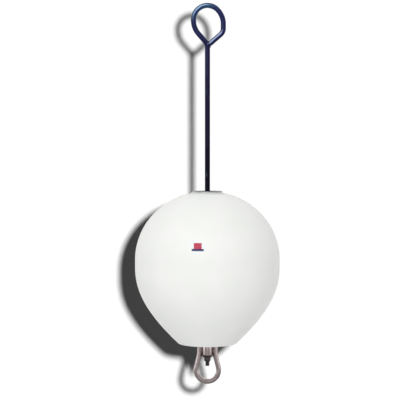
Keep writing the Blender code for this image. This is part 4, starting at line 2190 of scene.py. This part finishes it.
    def light(
        self,
        pieces: Sequence[bpy.types.Object],
        floor: bpy.types.Object,
        wall: bpy.types.Object,
    ) -> None:
        """Light the buoy from the upper left, and the backdrop from beside the camera.

        The backdrop's lamp stands as far away as the camera, so that the buoy's shadow keeps the buoy's size.

        Args:
            pieces: The buoy's pieces.
            floor: The floor.
            wall: The backdrop.
        """
        rod = [piece for piece in pieces if piece.name == "lifting_rod"]
        bow = [piece for piece in pieces if piece.name.startswith(("swivel", "rod_thread", "nut"))]
        rod_lit = self.collect("lit_rod", rod)
        bow_lit = self.collect("lit_bow", bow)
        body_lit = self.collect("lit_body", [piece for piece in pieces if piece not in rod + bow] + [floor])
        self.hang_lamp("key_softbox", (-0.64, -2.52, 0.58), (1.4, 1.4), 27.0, body_lit)
        gloss = self.hang_lamp("rod_softbox", (-0.85, -1.85, 1.24), (1.9, 1.9), 225.0, rod_lit)
        gloss.visible_diffuse = False
        self.hang_lamp("bow_left_softbox", (-1.92, -0.56, -0.95), (1.6, 1.9), 21.0, bow_lit)
        self.hang_lamp("bow_right_softbox", (1.87, -0.72, -0.95), (1.6, 1.6), 16.0, bow_lit)
        self.hang_lamp("bow_front_softbox", (0.0, -2.9, -0.6), (2.4, 2.4), 19.0, bow_lit)
        rim = self.hang_lamp("bow_rim_softbox", (-0.05, 0.34, -0.50), (0.9, 0.6), 9.0, bow_lit)
        rim.light_linking.blocker_collection = bow_lit
        rim.visible_camera = False
        bulb = bpy.data.lights.new("backdrop_lamp", "POINT")
        bulb.energy = 12100.0
        bulb.shadow_soft_size = 0.105
        self.aim("backdrop_lamp", bulb, self.backdrop_lamp_place, self.collect("lit_backdrop", [wall]))

    def set_world(self) -> None:
        """A white surround whose reflections are dimmer in front of the buoy, where the room is dark."""
        world = bpy.data.worlds.new("surround")
        bpy.context.scene.world = world
        world.use_nodes = True
        world.cycles.sampling_method = "NONE"
        sheet = NodeSheet(world.node_tree)
        sheet.tree.nodes.clear()
        rays = sheet.add("ShaderNodeLightPath").outputs
        seen = sheet.maths("ADD", rays["Is Camera Ray"], rays["Is Transmission Ray"])
        mirrored = rays["Is Glossy Ray"]
        towards = sheet.add("ShaderNodeTexCoord").outputs["Generated"]
        brightest = Vector((0.0, 0.73, 0.68)).normalized()
        facing = sheet.measure("DOT_PRODUCT", towards, brightest)
        room = sheet.spread(facing, -0.05, 0.70, self.room_level, 1.0)
        rest = sheet.maths("SUBTRACT", 1.0, sheet.maths("ADD", seen, mirrored))
        soft = sheet.maths("MULTIPLY_ADD", sheet.maths("MAXIMUM", rest, 0.0), self.ambient, seen)
        strength = sheet.maths("MULTIPLY_ADD", mirrored, room, soft)
        sky = sheet.add("ShaderNodeBackground", {"Strength": strength})
        sky.inputs["Color"].default_value = opaque((1.0, 1.0, 1.0))
        sheet.add("ShaderNodeOutputWorld", {"Surface": sky.outputs[0]})

    def set_camera(self) -> None:
        """Stand the camera where the photograph was taken from."""
        data = bpy.data.cameras.new("camera")
        data.lens = self.lens
        data.sensor_width = 36.0
        camera = put_in_scene("camera", data)
        camera.location = (self.view_x, -self.view_distance, self.view_height)
        look_along(camera, Vector((0, self.view_distance, self.target_height - self.view_height)))
        bpy.context.scene.camera = camera


class Buoy:
    """The whole buoy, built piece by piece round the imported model."""

    def __init__(self) -> None:
        """Prepare the shared effects."""
        self.shelf = EffectShelf()

    def build(self) -> list[bpy.types.Object]:
        """Build and dress every piece.

        Returns:
            The pieces.
        """
        zinc = ZincPlate().material(self.shelf, Span.of("top_plate").high)
        thread = FastenerSteel(
            name="rubbed_thread_steel",
            pale=(0.200, 0.185, 0.185),
            dark=(0.060, 0.052, 0.052),
        )
        # Painted shade: the washer's steel is darkened to show the shade under the sleeve.
        washer = FastenerSteel(
            name="shaded_washer_steel",
            pale=(0.055, 0.048, 0.048),
            dark=(0.020, 0.016, 0.016),
        )
        moulding = FloatMoulding()
        rod = LiftingRod()
        fasteners = BowFasteners()
        return [
            moulding.build(MouldedSkin().material(self.shelf, moulding.seat_radius, moulding.shelf_level)),
            FloatLabel(moulding).build(self.shelf),
            rod.build(NavyCoat().material(self.shelf)),
            rod.build_thread(thread.material(self.shelf)),
            ClampPlate("top_plate", bore_radius=0.00755).build(zinc),
            ClampPlate("bottom_plate", bore_radius=0.0065).build(zinc),
            SwivelBow().build(BowSteel().material(self.shelf, Span.of("bow_washer").high)),
            fasteners.build_washer(washer.material(self.shelf)),
            fasteners.build_nut(FastenerSteel().material(self.shelf)),
            fasteners.build_ring(NutNylon().material(self.shelf)),
        ]


def main() -> None:
    """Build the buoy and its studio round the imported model."""
    logging.basicConfig(level=logging.INFO, format="%(message)s")
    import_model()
    pieces = Buoy().build()
    studio = Studio()
    floor, wall = studio.set_stage()
    studio.light(pieces, floor, wall)
    studio.set_world()
    studio.set_camera()
    bpy.context.scene.view_settings.view_transform = "Standard"


if __name__ == "__main__":
    main()
